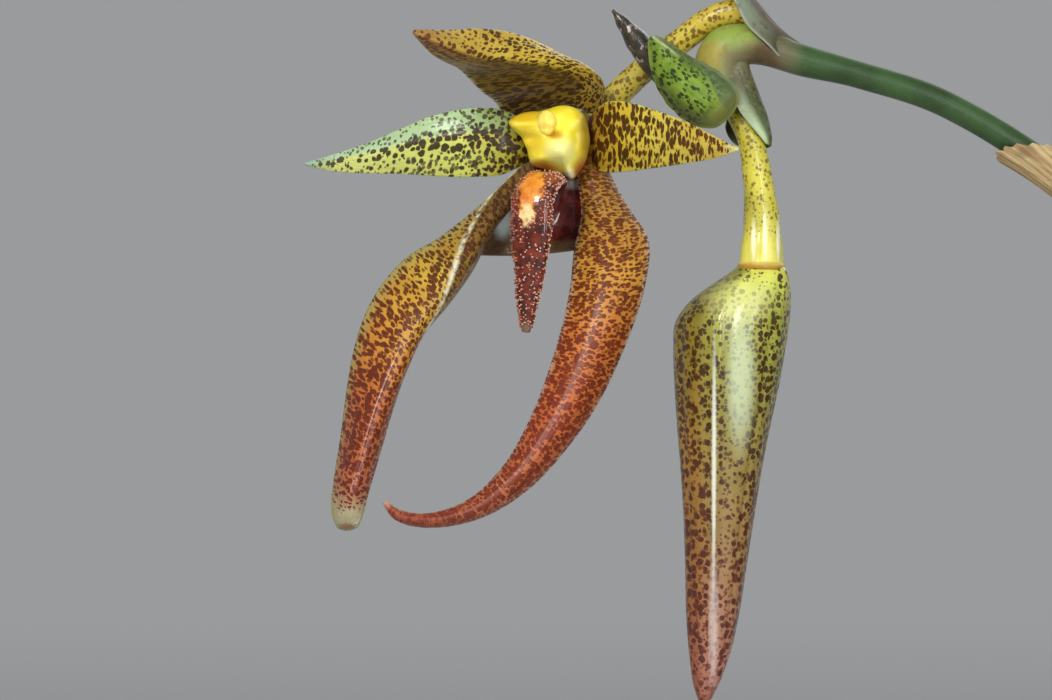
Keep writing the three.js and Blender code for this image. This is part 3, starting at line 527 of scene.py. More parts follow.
blades = {
    "dorsalSepal": {
        "node": "dorsal_sepal", "slot": "spotted_petal", "crease": 0.45, "rows": 84, "columns": 34,
        "body": (1.2, 0.7), "veins": (0.07, 8), "wave": (0.3, 2.2, 0.5),
        "stations": [
            [[-9.8, 6.4, 6.4], [2, 4.8, 9], [9.2, 7, 6.6]],
            [[-12.2, 3.4, 9.4], [5.4, 0.4, 13], [9.4, 5, 12.2]],
            [[-14.5, 0.4, 11.4], [3.2, -4.2, 15.5], [6.8, 1, 15.8]],
            [[-16.8, -3, 13.7], [-2, -8.6, 17], [1, -3.4, 19.3]],
            [[-19.2, -7, 15.6], [-8.5, -13, 17.6], [-6, -8.2, 22.2]],
            [[-22.2, -12, 17.3], [-15.5, -17, 18.2], [-14, -13, 23.5]],
            [[-25.4, -17.6, 19.6], [-21.8, -20.6, 20.2], [-21.5, -18, 23.3]],
            [[-28.1, -22.6, 22.2], [-28.4, -22.9, 22.6], [-28.1, -22.6, 23]],
        ],
    },
    "petalLeft": {
        "node": "petal_left", "slot": "spotted_petal", "rows": 80, "columns": 28,
        "body": (1.2, 0.7), "veins": (0.05, 9), "wave": (0.25, 2.6, 1.0),
        "stations": [
            [[-5.6, 3.6, 5.4], [-4.8, 2.6, 1.8], [-5.4, 3.6, -2]],
            [[-11, 2.4, 8.1], [-11, 0.8, 1.6], [-11, 2.4, -5]],
            [[-17, 2.2, 8.5], [-17, 0.6, 1.6], [-17, 2.4, -5.3]],
            [[-23.5, 3, 7.2], [-23.5, 1.6, 1.1], [-24, 3.2, -5.1]],
            [[-31.4, 4.4, 4.2], [-31.6, 3.4, -0.2], [-32, 4.6, -4.7]],
            [[-39.6, 6, 0.9], [-39.8, 5.4, -1.6], [-40, 6.2, -4.3]],
            [[-46.2, 7.4, -1.4], [-46.4, 7.2, -2.5], [-46.4, 7.5, -3.7]],
            [[-50.4, 8.5, -2.3], [-50.6, 8.5, -2.5], [-50.4, 8.5, -2.8]],
        ],
    },
    "petalRight": {
        "node": "petal_right", "slot": "spotted_petal", "rows": 72, "columns": 28,
        "body": (1.2, 0.7), "veins": (0.05, 9), "wave": (0.25, 2.2, 2.0),
        "stations": [
            [[6.2, 4, 5.8], [6, 3, 2], [5.6, 3.8, -2.2]],
            [[9.4, 1.6, 9.2], [9.6, -0.4, 2.5], [9.4, 1.6, -4.2]],
            [[14, -2.2, 9.5], [14.2, -4.6, 2.6], [14, -2.4, -4.5]],
            [[19.2, -7, 8], [19.4, -9.2, 2.4], [19.2, -7.2, -3.8]],
            [[25, -13, 5.5], [25.2, -14.8, 1.6], [25, -13.2, -3.1]],
            [[30.8, -19.2, 2.4], [31, -20.2, 0.5], [30.8, -19.4, -2.3]],
            [[35.6, -24.6, -0.3], [35.8, -24.6, -0.6], [35.6, -24.6, -0.9]],
        ],
    },
    "lateralSepalLeft": {
        "node": "lateral_sepal_left", "slot": "brown_sepal", "crease": 0.1, "rows": 120,
        "columns": 26, "body": (1.3, 0.8), "veins": (0.06, 8), "wave": (0.15, 3, 0.0),
        "stations": [
            [[-4.6, 4.4, -0.6], [-3.6, 3.6, -3.6], [-3, 4.2, -6.4]],
            [[-7.4, 3.4, -3.4], [-6.2, 2.2, -6.4], [-6, 3.2, -8.2]],
            [[-14.8, 1.8, -11], [-12.6, -2.2, -13.6], [-12.2, 2.4, -15.4]],
            [[-23, 0, -17.4], [-18.2, -7.5, -21.4], [-17.1, -2.3, -24.6]],
            [[-30, -3, -21.6], [-23.4, -11.6, -28], [-21.6, -6, -30.6]],
            [[-35.4, -6, -28], [-28.4, -14.6, -34.6], [-26.6, -9, -36.6]],
            [[-39, -8, -36], [-31.8, -17, -42], [-29.6, -11.4, -43.2]],
            [[-41.2, -10, -46], [-35.2, -19, -50.2], [-32.4, -13.4, -51.6]],
            [[-42.6, -12.4, -56], [-38, -21, -59], [-34.8, -15.6, -59.6]],
            [[-44, -16, -66], [-40.4, -22.6, -67.8], [-37.4, -18.4, -68.2]],
            [[-44.2, -19.6, -70.4], [-41, -25.4, -72], [-38, -21.6, -71.6]],
            [[-43.8, -23.6, -73.4], [-41.2, -28.2, -74.4], [-38.5, -25, -73.8]],
            [[-43, -28, -74.6], [-41.2, -31.4, -74.9], [-39.4, -28.6, -74.6]],
            [[-41.6, -32.8, -74], [-41.2, -33.6, -73.9], [-40.8, -32.8, -74]],
        ],
    },
    "lateralSepalRight": {
        "node": "lateral_sepal_right", "slot": "brown_sepal", "crease": 0.1, "rows": 120,
        "columns": 26, "body": (1.3, 0.8), "veins": (0.06, 8), "wave": (0.15, 3, 0.9),
        "stations": [
            [[3.6, 4.6, -0.8], [6.6, 4.4, -0.6], [9.8, 5.6, -0.8]],
            [[4.4, 3, -4.6], [7.2, 2.0, -4.4], [10.8, 4, -4.6]],
            [[5.2, 0.4, -13], [9.8, -3.6, -13], [15, -0.4, -12.2]],
            [[3.6, -3.4, -20], [10.6, -8.4, -19.6], [18.3, -3, -18]],
            [[2.8, -7.6, -28], [10.2, -13, -28], [17.5, -6.4, -27]],
            [[1.2, -10.6, -36], [7.8, -16, -37.4], [14.1, -9.4, -38]],
            [[-2, -13.6, -46], [3.4, -19, -48.4], [8.6, -12.4, -50]],
            [[-5.4, -16.4, -54], [-1.6, -21, -57.2], [2.2, -15.4, -59]],
            [[-10.4, -18.4, -63], [-8, -22.4, -65.4], [-5.8, -17.4, -67.4]],
            [[-17, -19.4, -69.6], [-15.8, -22.4, -71.4], [-14.8, -18.6, -73]],
            [[-25, -20.4, -72.4], [-24.8, -22.2, -73.6], [-24.6, -19.8, -75]],
            [[-31, -20.8, -71.6], [-31.3, -21.6, -72.5], [-31.6, -20.4, -73.4]],
            [[-33.7, -20.8, -69.8], [-34, -20.9, -69.9], [-34.2, -20.8, -70]],
        ],
    },
}

bladeLooks = {
    "dorsalSepal": {
        "ground": [(0, 158, 128, 40), (0.5, 200, 172, 62), (0.85, 178, 150, 60), (0.95, 160, 122, 58),
            (1, 140, 104, 60)],
        # the lower face's ramp is painted shade, darker where the face turns down from the light
        "other": [(0, 124, 98, 26), (0.45, 112, 90, 26), (0.8, 140, 106, 38), (0.95, 150, 104, 50),
            (1, 140, 104, 60)],
        "cloud": (215, 195, 160),
        "margin": ((190, 182, 120), 0.93, 1.0),
        "spots": [
            {"cell": (1.25, 1.35), "seed": 3.1, "size": [(0, 0.48), (0.4, 0.43), (0.75, 0.38), (0.95, 0.34),
             (1, 0.24)],
             "across": [(0, 1.05), (0.42, 1.08), (0.6, 0.9), (1, 0.8)], "wander": 0.8, "missing": 0.04,
             "ragged": 0.35,
             "colour": [(0, 40, 16, 2), (0.6, 52, 24, 4), (1, 96, 44, 16)], "tone": (92, 52, 14)},
            {"cell": (0.85, 1.0), "seed": 9.7, "size": [(0, 0.3), (0.8, 0.22), (1, 0.0)], "missing": 0.5,
             "colour": [(0, 64, 34, 6), (1, 110, 66, 24)], "strength": 0.75},
        ],
    },
    "petalLeft": {
        "ground": [(0, 150, 134, 42), (0.14, 172, 164, 58), (0.3, 196, 198, 96), (0.8, 194, 200, 116),
            (0.93, 160, 182, 150), (1, 132, 156, 150)],
        # the upper part's paler, bluish ramp is a painted sheen
        "other": [(0, 146, 146, 54), (0.14, 158, 174, 104), (0.3, 168, 194, 142), (0.8, 164, 188, 148),
            (0.93, 146, 172, 156), (1, 132, 156, 150)],
        "divide": (0.42, 0.3), "cloud": (236, 240, 214),
        "margin": ((190, 208, 124), 0.92, 1.0),
        "spots": [
            {"cell": (1.55, 1.6), "seed": 1.3, "size": [(0, 0.5), (0.2, 0.5), (0.5, 0.46), (0.85, 0.38),
             (0.95, 0.14)],
             "across": [(0, 0.15), (0.24, 0.3), (0.36, 1.0), (0.6, 1.0), (0.68, 0.5), (0.85, 0.6), (1, 0.5)],
             "wander": 0.5, "missing": 0.03, "ragged": 0.3,
             "colour": [(0, 30, 4, 2), (0.6, 36, 12, 6), (1, 70, 68, 54)], "tone": (56, 20, 10)},
            {"cell": (1.1, 1.15), "seed": 5.9, "size": [(0, 0.48), (0.3, 0.42), (0.6, 0.32), (0.92, 0.2)],
             "across": [(0, 0.9), (0.3, 1.0), (0.42, 0.3), (0.58, 0.3), (0.7, 1.0), (1, 0.9)],
             "missing": 0.28, "ragged": 0.5,
             "colour": [(0, 42, 28, 10), (1, 74, 88, 64)], "strength": 0.85},
            {"cell": (1.35, 1.4), "seed": 2.6, "size": [(0, 0.42), (0.2, 0.4), (0.32, 0.22), (0.38, 0.0)],
             "missing": 0.3,
             "across": [(0, 0.7), (0.2, 1.0), (1, 0.8)], "colour": [(0, 34, 10, 4), (1, 40, 16, 6)]},
        ],
    },
    "petalRight": {
        "ground": [(0, 112, 74, 16), (0.12, 150, 116, 32), (0.3, 204, 178, 52), (0.6, 206, 188, 76),
            (0.9, 200, 176, 72), (0.97, 214, 206, 150)],
        "cloud": (228, 212, 176),
        "margin": ((196, 194, 96), 0.9, 1.0),
        "spots": [
            {"cell": (1.15, 2.3), "seed": 7.3, "size": [(0, 0.5), (0.3, 0.45), (0.7, 0.42), (0.92, 0.34),
             (0.98, 0.0)],
             "across": [(0, 0.75), (0.2, 1), (0.8, 1), (1, 0.6)], "wander": 0.8, "missing": 0.0,
             "ragged": 0.4,
             "colour": [(0, 48, 16, 2), (0.5, 44, 14, 3), (0.85, 76, 30, 10)], "tone": (84, 38, 10)},
            {"cell": (0.85, 1.3), "seed": 2.2, "size": [(0, 0.36), (0.9, 0.28), (1, 0.0)], "missing": 0.4,
             "colour": [(0, 56, 26, 4), (1, 110, 56, 22)], "strength": 0.8},
        ],
    },
    "lateralSepalLeft": {
        "ground": [(0, 120, 92, 34), (0.14, 150, 126, 56), (0.3, 196, 162, 56), (0.42, 200, 144, 52),
            (0.54, 186, 104, 48), (0.68, 168, 96, 62), (0.77, 160, 152, 120), (0.86, 150, 146, 118),
            (1, 140, 104, 70)],
        "cloud": (216, 186, 156),
        "margin": ((150, 142, 80), 0.74, 0.97),
        # crest: a painted highlight line along the fold and painted shade on the side beyond it
        "crest": {"line": [(0.13, 0.0), (0.19, 0.24), (0.26, 0.49), (0.315, 0.67), (0.4, 0.94),
            (0.47, 1.0)], "fade": (0.5, 0.42),
                  "shadeBeyond": (76, 40, 16), "light": (226, 226, 196)},
        "spots": [
            {"cell": (1.0, 1.6), "seed": 4.4, "size": [(0, 0.44), (0.25, 0.42), (0.4, 0.46), (0.5, 0.53),
             (0.7, 0.52), (0.78, 0.1), (0.81, 0.0)],
             "across": [(0, 0.6), (0.25, 1.0), (0.75, 1.0), (1, 0.8)], "wander": 0.9, "missing": 0.02,
             "ragged": 0.55, "soft": 0.06,
             "colour": [(0, 40, 20, 4), (0.25, 58, 26, 4), (0.42, 84, 28, 8), (0.66, 92, 28, 22)],
             "tone": (128, 46, 14)},
            {"cell": (0.8, 1.15), "seed": 8.8, "size": [(0, 0.3), (0.6, 0.36), (0.79, 0)], "missing": 0.4,
             "soft": 0.08,
             "colour": [(0, 56, 28, 6), (1, 116, 44, 22)], "strength": 0.75},
        ],
    },
    "lateralSepalRight": {
        "ground": [(0, 130, 86, 30), (0.14, 160, 118, 46), (0.3, 198, 146, 54), (0.42, 198, 118, 50),
            (0.55, 184, 94, 46), (0.7, 178, 104, 64), (0.8, 150, 76, 44), (0.95, 150, 80, 56),
            (1, 190, 150, 140)],
        "cloud": (220, 184, 154),
        "margin": ((176, 152, 128), 0.8, 0.99),
        "spots": [
            {"cell": (0.8, 1.45), "seed": 6.1, "size": [(0, 0.44), (0.25, 0.46), (0.4, 0.5), (0.5, 0.54),
             (0.8, 0.56), (0.97, 0.3), (1, 0.0)],
             "across": [(0, 0.9), (0.2, 1.0), (0.75, 1.0), (1, 0.8)], "wander": 0.9, "missing": 0.02,
             "ragged": 0.55, "soft": 0.06,
             "colour": [(0, 66, 30, 4), (0.3, 80, 30, 4), (0.5, 102, 28, 8), (1, 104, 36, 22)],
             "tone": (150, 54, 18)},
            {"cell": (0.75, 1.1), "seed": 3.8, "size": [(0, 0.3), (0.95, 0.36), (1, 0)], "missing": 0.4,
             "soft": 0.08,
             "colour": [(0, 80, 40, 10), (1, 136, 52, 26)], "strength": 0.7},
        ],
        "gloss": {"rough": 0.5, "coat": 0.15, "coatRough": 0.28, "soft": 0.03, "shine": 0.25},
    },
}


def buildBlades():
    for name, look in blades.items():
        piece = bladePiece(name, look)
        finishPiece(piece, spottedFinish(name + "Skin", bladeLooks[name]), [look["node"]])
    print("blades of the flower done")


# column, its foot, the anther cap


columnShape = {
    # the front's outline, x and z from the flower's middle
    "outline": [
        (-9.9, 5.3), (-7.8, 6.9), (-3.4, 7.6), (-1.4, 8.2), (3.4, 8.6), (5.6, 7.2), (6.5, 4), (6.5, 0),
            (5.6, -3),
        (4.2, -5.0), (3.1, -6.2), (1.9, -4.9), (-2, -3.8), (-5, -2.8), (-5.7, 0), (-6.7, 2.5), (-8.6, 4.1),
    ],
    "middle": (-0.2, 2.0), "rows": 72, "sides": 144, "front": 5.0, "back": 4.6,
    # swellings of the front: x, z, width, height, how far out
    "swells": [
        (0.9, -0.3, 2.7, 2.6, 2.7),
        (-0.4, 3.0, 1.5, 0.8, -1.7),
        (-5.2, 2.6, 1.9, 1.6, -1.3),
        (-6.4, 5.2, 3.0, 0.9, 0.7),
        (4.6, 5.6, 1.4, 1.6, 1.1),
        (3.9, 2.0, 0.8, 3.4, -0.6),
        (-3.4, -1.9, 1.8, 1.0, 0.7),
        (2.6, -5.0, 0.9, 1.5, 0.9),
    ],
    "cap": {"place": (-1.9, -5.5, 5.3), "size": (2.0, 1.5, 2.5), "detail": 40},
    "foot": {
        "rows": 48, "columns": 56, "body": (1.2, 0.8), "veins": (0.05, 5), "wave": (0.3, 2, 0),
        "stations": [
            [[-3.2, 0.6, 0.4], [0.6, 1.2, 0.8], [3.8, 0.6, 0.4]],
            [[-4.6, 3.4, -3.4], [0.6, 3.6, -3], [4.4, 3.4, -3.4]],
            [[-10.6, 4, -9.4], [-0.4, 6.2, -9.6], [6.2, 3.4, -9.6]],
            [[-14.6, 3.8, -15], [-2, 5.8, -14.8], [6.4, 1.2, -15]],
            [[-16.2, 3.2, -21], [-6.4, 3.2, -21], [6, -1, -19.8]],
        ],
    },
}


def columnFinish():
    p = newFinish("columnSkin", rough=0.38, coat=0.25, coatRough=0.15, soft=0.12, shine=0.35)
    place = p.place()
    paint = p.mix(p.span(p.noise(place, 0.35, 3), 0.35, 0.7), (240, 220, 44), (246, 230, 84))
    colourPatches = [
        ((-7, -3, 6.6), (5, 6, 1.8), 0.6, (226, 186, 36)),
        ((-4.6, -4, 1.6), (2.6, 5, 2.6), 0.7, (232, 202, 44)),
        # painted shade down the column's right side
        ((6.6, -1, 3), (2.6, 8, 8), 0.6, (168, 138, 34)),
        ((0.9, -9, -0.6), (3.2, 5, 3.2), 0.6, (247, 244, 150)),
        # orange and brown along the lower edges, painted shade
        ((-3.4, -4, -3.9), (3.4, 5, 1.5), 0.6, (224, 138, 36)),
        ((5.4, -3, -4.6), (2, 5, 2.6), 0.6, (168, 84, 34)),
        # a painted highlight on the lower tip
        ((2.6, -3, -5.4), (0.9, 5, 1.8), 0.7, (246, 236, 190)),
        # a darker crescent in the hollow under the anther cap, painted shade
        ((-0.4, -6.4, 2.9), (1.6, 3, 0.7), 0.7, (198, 150, 40)),
    ]
    return p.dress(p.touches(paint, place, colourPatches), p.skin(place, 2.6), 0.1)


def footFinish():
    p = newFinish("columnFootSkin", rough=0.35, coat=0.4, coatRough=0.1, soft=0.03, shine=0.25)
    place = p.place()
    paint = p.mix(p.span(p.noise(place, 0.5, 3), 0.35, 0.65), (62, 12, 12), (104, 26, 20))
    colourPatches = [
        ((-10, 2, -20), (7, 8, 4.4), 0.5, (84, 56, 22)),
        # two painted highlights: a grey-white gloss on the left side and a grey one at the top right
        ((-10.6, 3, -14.2), (1.8, 6, 3.2), 0.5, (178, 192, 192)),
        ((3.2, 3, -6.8), (2.6, 5, 0.9), 0.5, (140, 130, 124)),
        ((1, 2, -19.6), (9, 8, 1.4), 0.5, (92, 66, 32)),
    ]
    return p.dress(p.touches(paint, place, colourPatches), p.skin(place, 1.6), 0.2)


def outlineReach(angle, shape):
    # how far an outline lies from its middle, by angle
    corners = np.array(shape["outline"]) - shape["middle"]
    turns = np.arctan2(corners[:, 1], corners[:, 0])
    order = np.argsort(turns)
    turns, lengths = turns[order], np.hypot(*corners.T)[order]
    return np.interp(angle, turns, lengths, period=2 * math.pi)


def buildColumn():
    shape = columnShape
    rows, sides = shape["rows"], shape["sides"]

    def skin(u, w):
        angle = math.pi * w + 0.3
        reach = sum(outlineReach(angle + k * 0.03, shape) for k in range(-2, 3)) / 5
        share = np.sin(math.pi * u)
        x = shape["middle"][0] + share * reach * np.cos(angle)
        z = shape["middle"][1] + share * reach * np.sin(angle)
        deep = np.sqrt(np.maximum(1 - share**2, 0))
        rim = -1.2 - 2.2 * smoothStep(-x, 5, 9.8)
        front = rim - shape["front"] * deep
        for cx, cz, wide, high, out in shape["swells"]:
            away = ((x - cx) / wide) ** 2 + ((z - cz) / high) ** 2
            front = front - out * np.exp(-away) * smoothStep(deep, 0, 0.35)
        back = rim + 0.9 + shape["back"] * deep
        y = np.where(u < 0.5, front, np.where(u > 0.5, back, (front + back) / 2))
        return np.stack([x, y, z], 1) + flowerAt, x, z

    piece = gridPiece("column", rows, sides, skin, rolled=True)
    applyModifier(piece, "SMOOTH", factor=0.5, iterations=2)
    foot = bladePiece("columnFoot", shape["foot"])
    piece.data.materials.append(columnFinish())
    foot.data.materials.append(footFinish())
    joinInto(piece, [foot])
    closeUp(piece)
    pickOnly(piece)
    bpy.ops.object.shade_smooth()
    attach(piece, "root")
    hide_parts("column")

    look = shape["cap"]
    detail, middle = look["detail"], np.array(look["place"]) + flowerAt
    cap = startFrom(bpy.ops.mesh.primitive_uv_sphere_add, segments=detail, ring_count=detail * 2 // 3, radius=1)
    cap.name = cap.data.name = "antherCap"
    size = Matrix.Diagonal((*look["size"], 1))
    cap.data.transform(Matrix.Rotation(-facing, 4, "Z") @ size)
    points = placesOf(cap.data)
    crown = np.exp(-((points[:, 0] / 0.5) ** 2)) * 0.25 - 0.3 * np.exp(-(((points[:, 2] + 1.2) / 0.5) ** 2))
    points[:, 1] -= crown * (points[:, 1] < 0)
    setPlaces(cap.data, (points + middle) * mm)
    p = newFinish("antherSkin", rough=0.4, coat=0.2, soft=0.12, shine=0.35)
    place = p.place()
    paint = p.mix(p.span(p.noise(place, 0.7, 3), 0.3, 0.7), (248, 226, 104), (246, 214, 88))
    finishPiece(cap, p.dress(paint, p.noise(place, 2.4, 3), 0.08), ["anther_cap"])
    print("column done")


# lip

lipShape = {
    "stations": [
        # x, y, z, width, thickness
        [-1.4, 4.2, -8.6, 3, 2],
        [-1, -1.6, -7.6, 5, 2.5],
        [-1.4, -7, -6.6, 7.4, 3.1],
        [-3, -11.4, -6.6, 8.4, 3.8],
        [-4.6, -13.8, -10, 8.4, 4.1],
        [-5, -14.4, -16, 8.4, 3.9],
        [-5.2, -13.8, -23, 6.6, 3.4],
        [-5.7, -12.6, -30, 4.6, 2.8],
        [-6, -11.2, -36.4, 1.8, 1.4],
    ],
    "rows": 110, "sides": 48,
    "smooth": [(-5, -6.6, 2.6, 4.2), (-5.9, -11, 1.6, 4.2)],  # bare patches of the front: x, z, half sizes
    "papillae": 780, "papillaWidth": 0.42, "papillaHeight": 0.62, "papillaSize": (0.62, 1.1),
    "from": 0.3, "reach": 0.68,
}


def lipPoint(t, angle):
    # the CAD solid's own surface, with a groove down its upper face
    stations = lipShape["stations"]
    sizes = np.array(stations, float)[:, 3:]
    t = np.atleast_1d(t)
    place = t * (len(stations) - 1)
    k = np.minimum(place.astype(int), len(stations) - 2)
    wide, thick = ((sizes[k] + (sizes[k + 1] - sizes[k]) * (place - k)[:, None]) / 2).T
    at = curveAt(stations, t)
    tangent = tangentsAt(stations, t)
    axis = np.array([math.cos(facing), -math.sin(facing), 0])
    side = unit(axis - tangent * (tangent @ axis)[:, None])
    out = unit(np.cross(side, tangent))
    groove = 1 - 0.45 * np.exp(-(((angle - math.pi / 2) / 0.5) ** 2)) * np.sin(math.pi * np.minimum(2 * t, 1))
    point = at + side * (wide * np.cos(angle))[:, None] + out * (thick * np.sin(angle) * groove)[:, None]
    return point, at


def lipFinish():
    p = newFinish("lipSkin", rough=0.3, coat=0.65, coatRough=0.07, soft=0.02, shine=0.3)
    place = p.place()
    cloud = p.span(p.noise(place, 0.5, 4), 0.35, 0.65)
    orange = p.mix(cloud, (214, 112, 24), (236, 158, 52))
    torn = p.vector("ADD", place, p.vector("MULTIPLY", p.drift(place, 0.7, 3), (4.5, 0, 4.5)))
    colourPatches = [
        (place, (1.5, -8, -6), (5, 6, 5), 0.4, (84, 20, 12)),
        (torn, (-1.6, -14, -5.4), (3.0, 8, 1.8), 0.5, (150, 84, 34)),
        (torn, (-5.0, -16, -6.6), (2.6, 8, 4.2), 0.3, orange),
        (torn, (-5.9, -16, -11), (1.6, 8, 3.4), 0.3, orange),
        (torn, (-6.0, -16, -13), (1.0, 6, 2.2), 0.5, (246, 222, 160), 0.85),
        (place, (-6.1, -11.5, -36.6), (3, 4, 2.2), 0.4, (120, 90, 70)),
    ]
    paint = p.mix(cloud, (50, 10, 3), (118, 36, 10))
    for where, *row in colourPatches:
        paint = p.touches(paint, where, [row])
    tip = p.node("Attribute", attribute_name="papilla").outputs["Fac"]
    paint = p.mix(p.span(tip, 0.1, 0.5, 0, 0.6), paint, (150, 60, 26))
    # paler papilla tips, partly their own colour and partly painted glints
    paint = p.mix(p.span(tip, 0.65, 1.0, 0, 0.75), paint, (236, 196, 176))
    return p.dress(paint, p.noise(place, 1.8, 3), 0.15)


def buildLip():
    shape = lipShape
    rows, sides = shape["rows"], shape["sides"]

    def skin(u, w):
        k, ends = stationOf(u, rows)
        t = k / (rows - 2)
        angle = math.pi * w - math.pi / 2
        angle = np.where(angle < -math.pi, angle + 2 * math.pi, angle)
        point, core = lipPoint(t, angle)
        return np.where(ends[:, None], core, point) + flowerAt, t * 45, w * 12

    piece = gridPiece("lip", rows, sides, skin, rolled=True)
    piece.data.attributes.new("papilla", "FLOAT", "POINT")
    model = startFrom(bpy.ops.mesh.primitive_ico_sphere_add, subdivisions=2, radius=1)
    points = placesOf(model.data)
    high = (points[:, 2] + 1) / 2
    taper = (1.0 - 0.35 * high)[:, None]
    width, height = shape["papillaWidth"], shape["papillaHeight"]
    stem = (high * (height + 0.5) - 0.5)[:, None]
    setPlaces(model.data, np.hstack([points[:, :2] * taper * width, stem]) * mm)
    marks = model.data.attributes.new("papilla", "FLOAT", "POINT")
    marks.data.foreach_set("value", high.astype(np.float32))
    copies = []
    count, start, reach = shape["papillae"], shape["from"], shape["reach"]
    for k in range(count):
        t = start + reach * (k + random.random()) / count
        t = start + reach * ((t - start) / reach) ** 0.92
        bare = 0.8 if t < 0.6 else 0.0  # the smooth groove in the bend
        turn = math.pi / 2 + bare + random.random() * (2 * math.pi - 2 * bare)
        turn = (turn + math.pi) % (2 * math.pi) - math.pi
        at, core = lipPoint(np.array([t]), np.array([turn]))
        x, y, z = at[0]
        inside = [math.hypot((x - a) / wide, (z - c) / high) < 1 for a, c, wide, high in shape["smooth"]]
        if y < core[0, 1] and any(inside):
            continue
        outwards = Vector(unit(at - core)[0])
        stand = Vector((0, 0, 1)).rotation_difference(outwards).to_matrix().to_4x4()
        size = random.uniform(*shape["papillaSize"]) * (1.0 - 0.25 * t)
        middle = Vector((at[0] + flowerAt) * mm)
        copies.append(stampCopy(model, Matrix.Translation(middle) @ stand @ Matrix.Scale(size, 4)))
    bpy.data.objects.remove(model)
    joinInto(piece, copies)
    finishPiece(piece, lipFinish(), ["lip"])
    print("lip done")


# stalks, buds and bracts of the raceme

stalks = {
    "pedicel": {
        "node": "pedicel", "slot": "spotted_stalk", "rows": 70, "sides": 36,
        "stations": [
            [40.6, 3, 24.2, 2.4],
            [38.8, 3, 26.8, 2.5],
            [34.8, 3.4, 27.6, 2.6],
            [30.2, 4.2, 25.8, 2.6],
            [25.4, 5.4, 22.2, 2.6],
            [19.4, 7.2, 17.8, 2.6],
            [14, 8.6, 13, 2.7],
            [10.4, 9.4, 9.2, 2.9],
            [7, 8.4, 5.6, 3.1],
        ],
    },
    "budStalk": {
        "node": "bud_stalk", "slot": "spotted_stalk", "rows": 70, "sides": 48,
        "stations": [
            [36.2, 2.7, 7.9, 2.4],
            [38.8, 1.8, 2.6, 2.6],
            [40.4, 1, -6, 3],
            [41.2, 0.4, -15, 3.7],
            [41.1, 0.1, -20.4, 4.3],
            [41, 0, -23.9, 4.6],
        ],
    },
}
stalkLooks = {
    "pedicel": {
        "ground": [(0, 150, 120, 40), (0.1, 186, 160, 50), (0.35, 206, 184, 62), (0.75, 196, 180, 66),
            (1, 130, 128, 50)],
        "cloud": (214, 206, 160),
        "spots": [
            {"cell": 1.1, "seed": 0.4, "size": [(0, 0.48), (1, 0.48)], "missing": 0.25, "ragged": 0.6,
             "soft": 0.12,
             "colour": [(0, 90, 50, 8), (1, 96, 58, 14)], "strength": 0.85},
            {"cell": 0.85, "seed": 4.4, "size": [(0, 0.36), (1, 0.36)], "missing": 0.5, "soft": 0.1,
             "colour": [(0, 124, 90, 24), (1, 124, 90, 24)], "strength": 0.6},
        ],
        "gloss": {"rough": 0.42, "coat": 0.25, "coatRough": 0.2, "soft": 0.03, "shine": 0.35},
    },
    "budStalk": {
        "ground": [(0, 140, 140, 54), (0.15, 190, 180, 64), (0.45, 212, 202, 74), (0.8, 222, 214, 92),
            (0.93, 226, 216, 104), (0.965, 190, 140, 46), (1, 176, 124, 36)],
        "cloud": (222, 216, 180),
        "spots": [
            {"cell": 0.95, "seed": 2.4, "size": [(0, 0.4), (0.55, 0.38), (0.68, 0.28), (0.8, 0.0)],
             "missing": 0.3, "ragged": 0.4,
             "colour": [(0, 104, 78, 20), (1, 110, 84, 24)], "strength": 0.8},
            {"cell": 0.7, "seed": 5.1, "size": [(0, 0.36), (0.6, 0.34), (0.85, 0.0)], "missing": 0.4,
             "soft": 0.1,
             "colour": [(0, 126, 104, 34), (1, 130, 108, 40)], "strength": 0.6},
        ],
        "touches": [
            # three thin painted highlights along the flutes
            ((39.4, -3.6, -18), (0.45, 3, 3.6), 0.6, (255, 252, 214), 0.85),
            ((41.7, -3.6, -17.4), (0.4, 3, 4.4), 0.6, (255, 252, 206), 0.85),
            ((44.4, -2.6, -17.8), (0.35, 3, 3.8), 0.6, (255, 255, 226), 0.85),
            ((41, 0, -22.9), (6, 6, 0.5), 0.6, (176, 118, 34), 0.7),
        ],
        "gloss": {"rough": 0.36, "coat": 0.4, "coatRough": 0.1, "soft": 0.03, "shine": 0.35},
    },
}

budShape = {
    # height, centre x, half width
    "rings": [
        [-22.9, 41.1, 4.4],
        [-24.4, 40.6, 5.7],
        [-27.5, 38.5, 8.2],
        [-30.5, 36.7, 10],
        [-34.5, 35.2, 11.2],
        [-40, 34.6, 11],
        [-47, 34.1, 10.3],
        [-55, 33.5, 9.2],
        [-64, 33, 8],
        [-74, 32.5, 6.9],
        [-84, 31.9, 6],
        [-93, 31.3, 5.2],
        [-101, 30.7, 4],
        [-107, 30, 2.5],
        [-111, 29.6, 0.8],
    ],
    "rows": 130, "sides": 96, "flatness": 0.8,
    "flat": (-1.1, 0.5, 0.05),  # the face right of the keel: angle, half width, how much it is pressed in
    # ridges and seams: angle at the top and at the tip, height, width
    "lines": [
        (-1.9, -1.6, 0.11, 0.12), (0.2, 0.3, 0.05, 0.3), (2.3, 2.3, 0.05, 0.3),
        (-0.62, -0.9, -0.03, 0.07), (1.25, 1.3, -0.03, 0.07), (-2.75, -2.6, -0.03, 0.07),
    ],
}
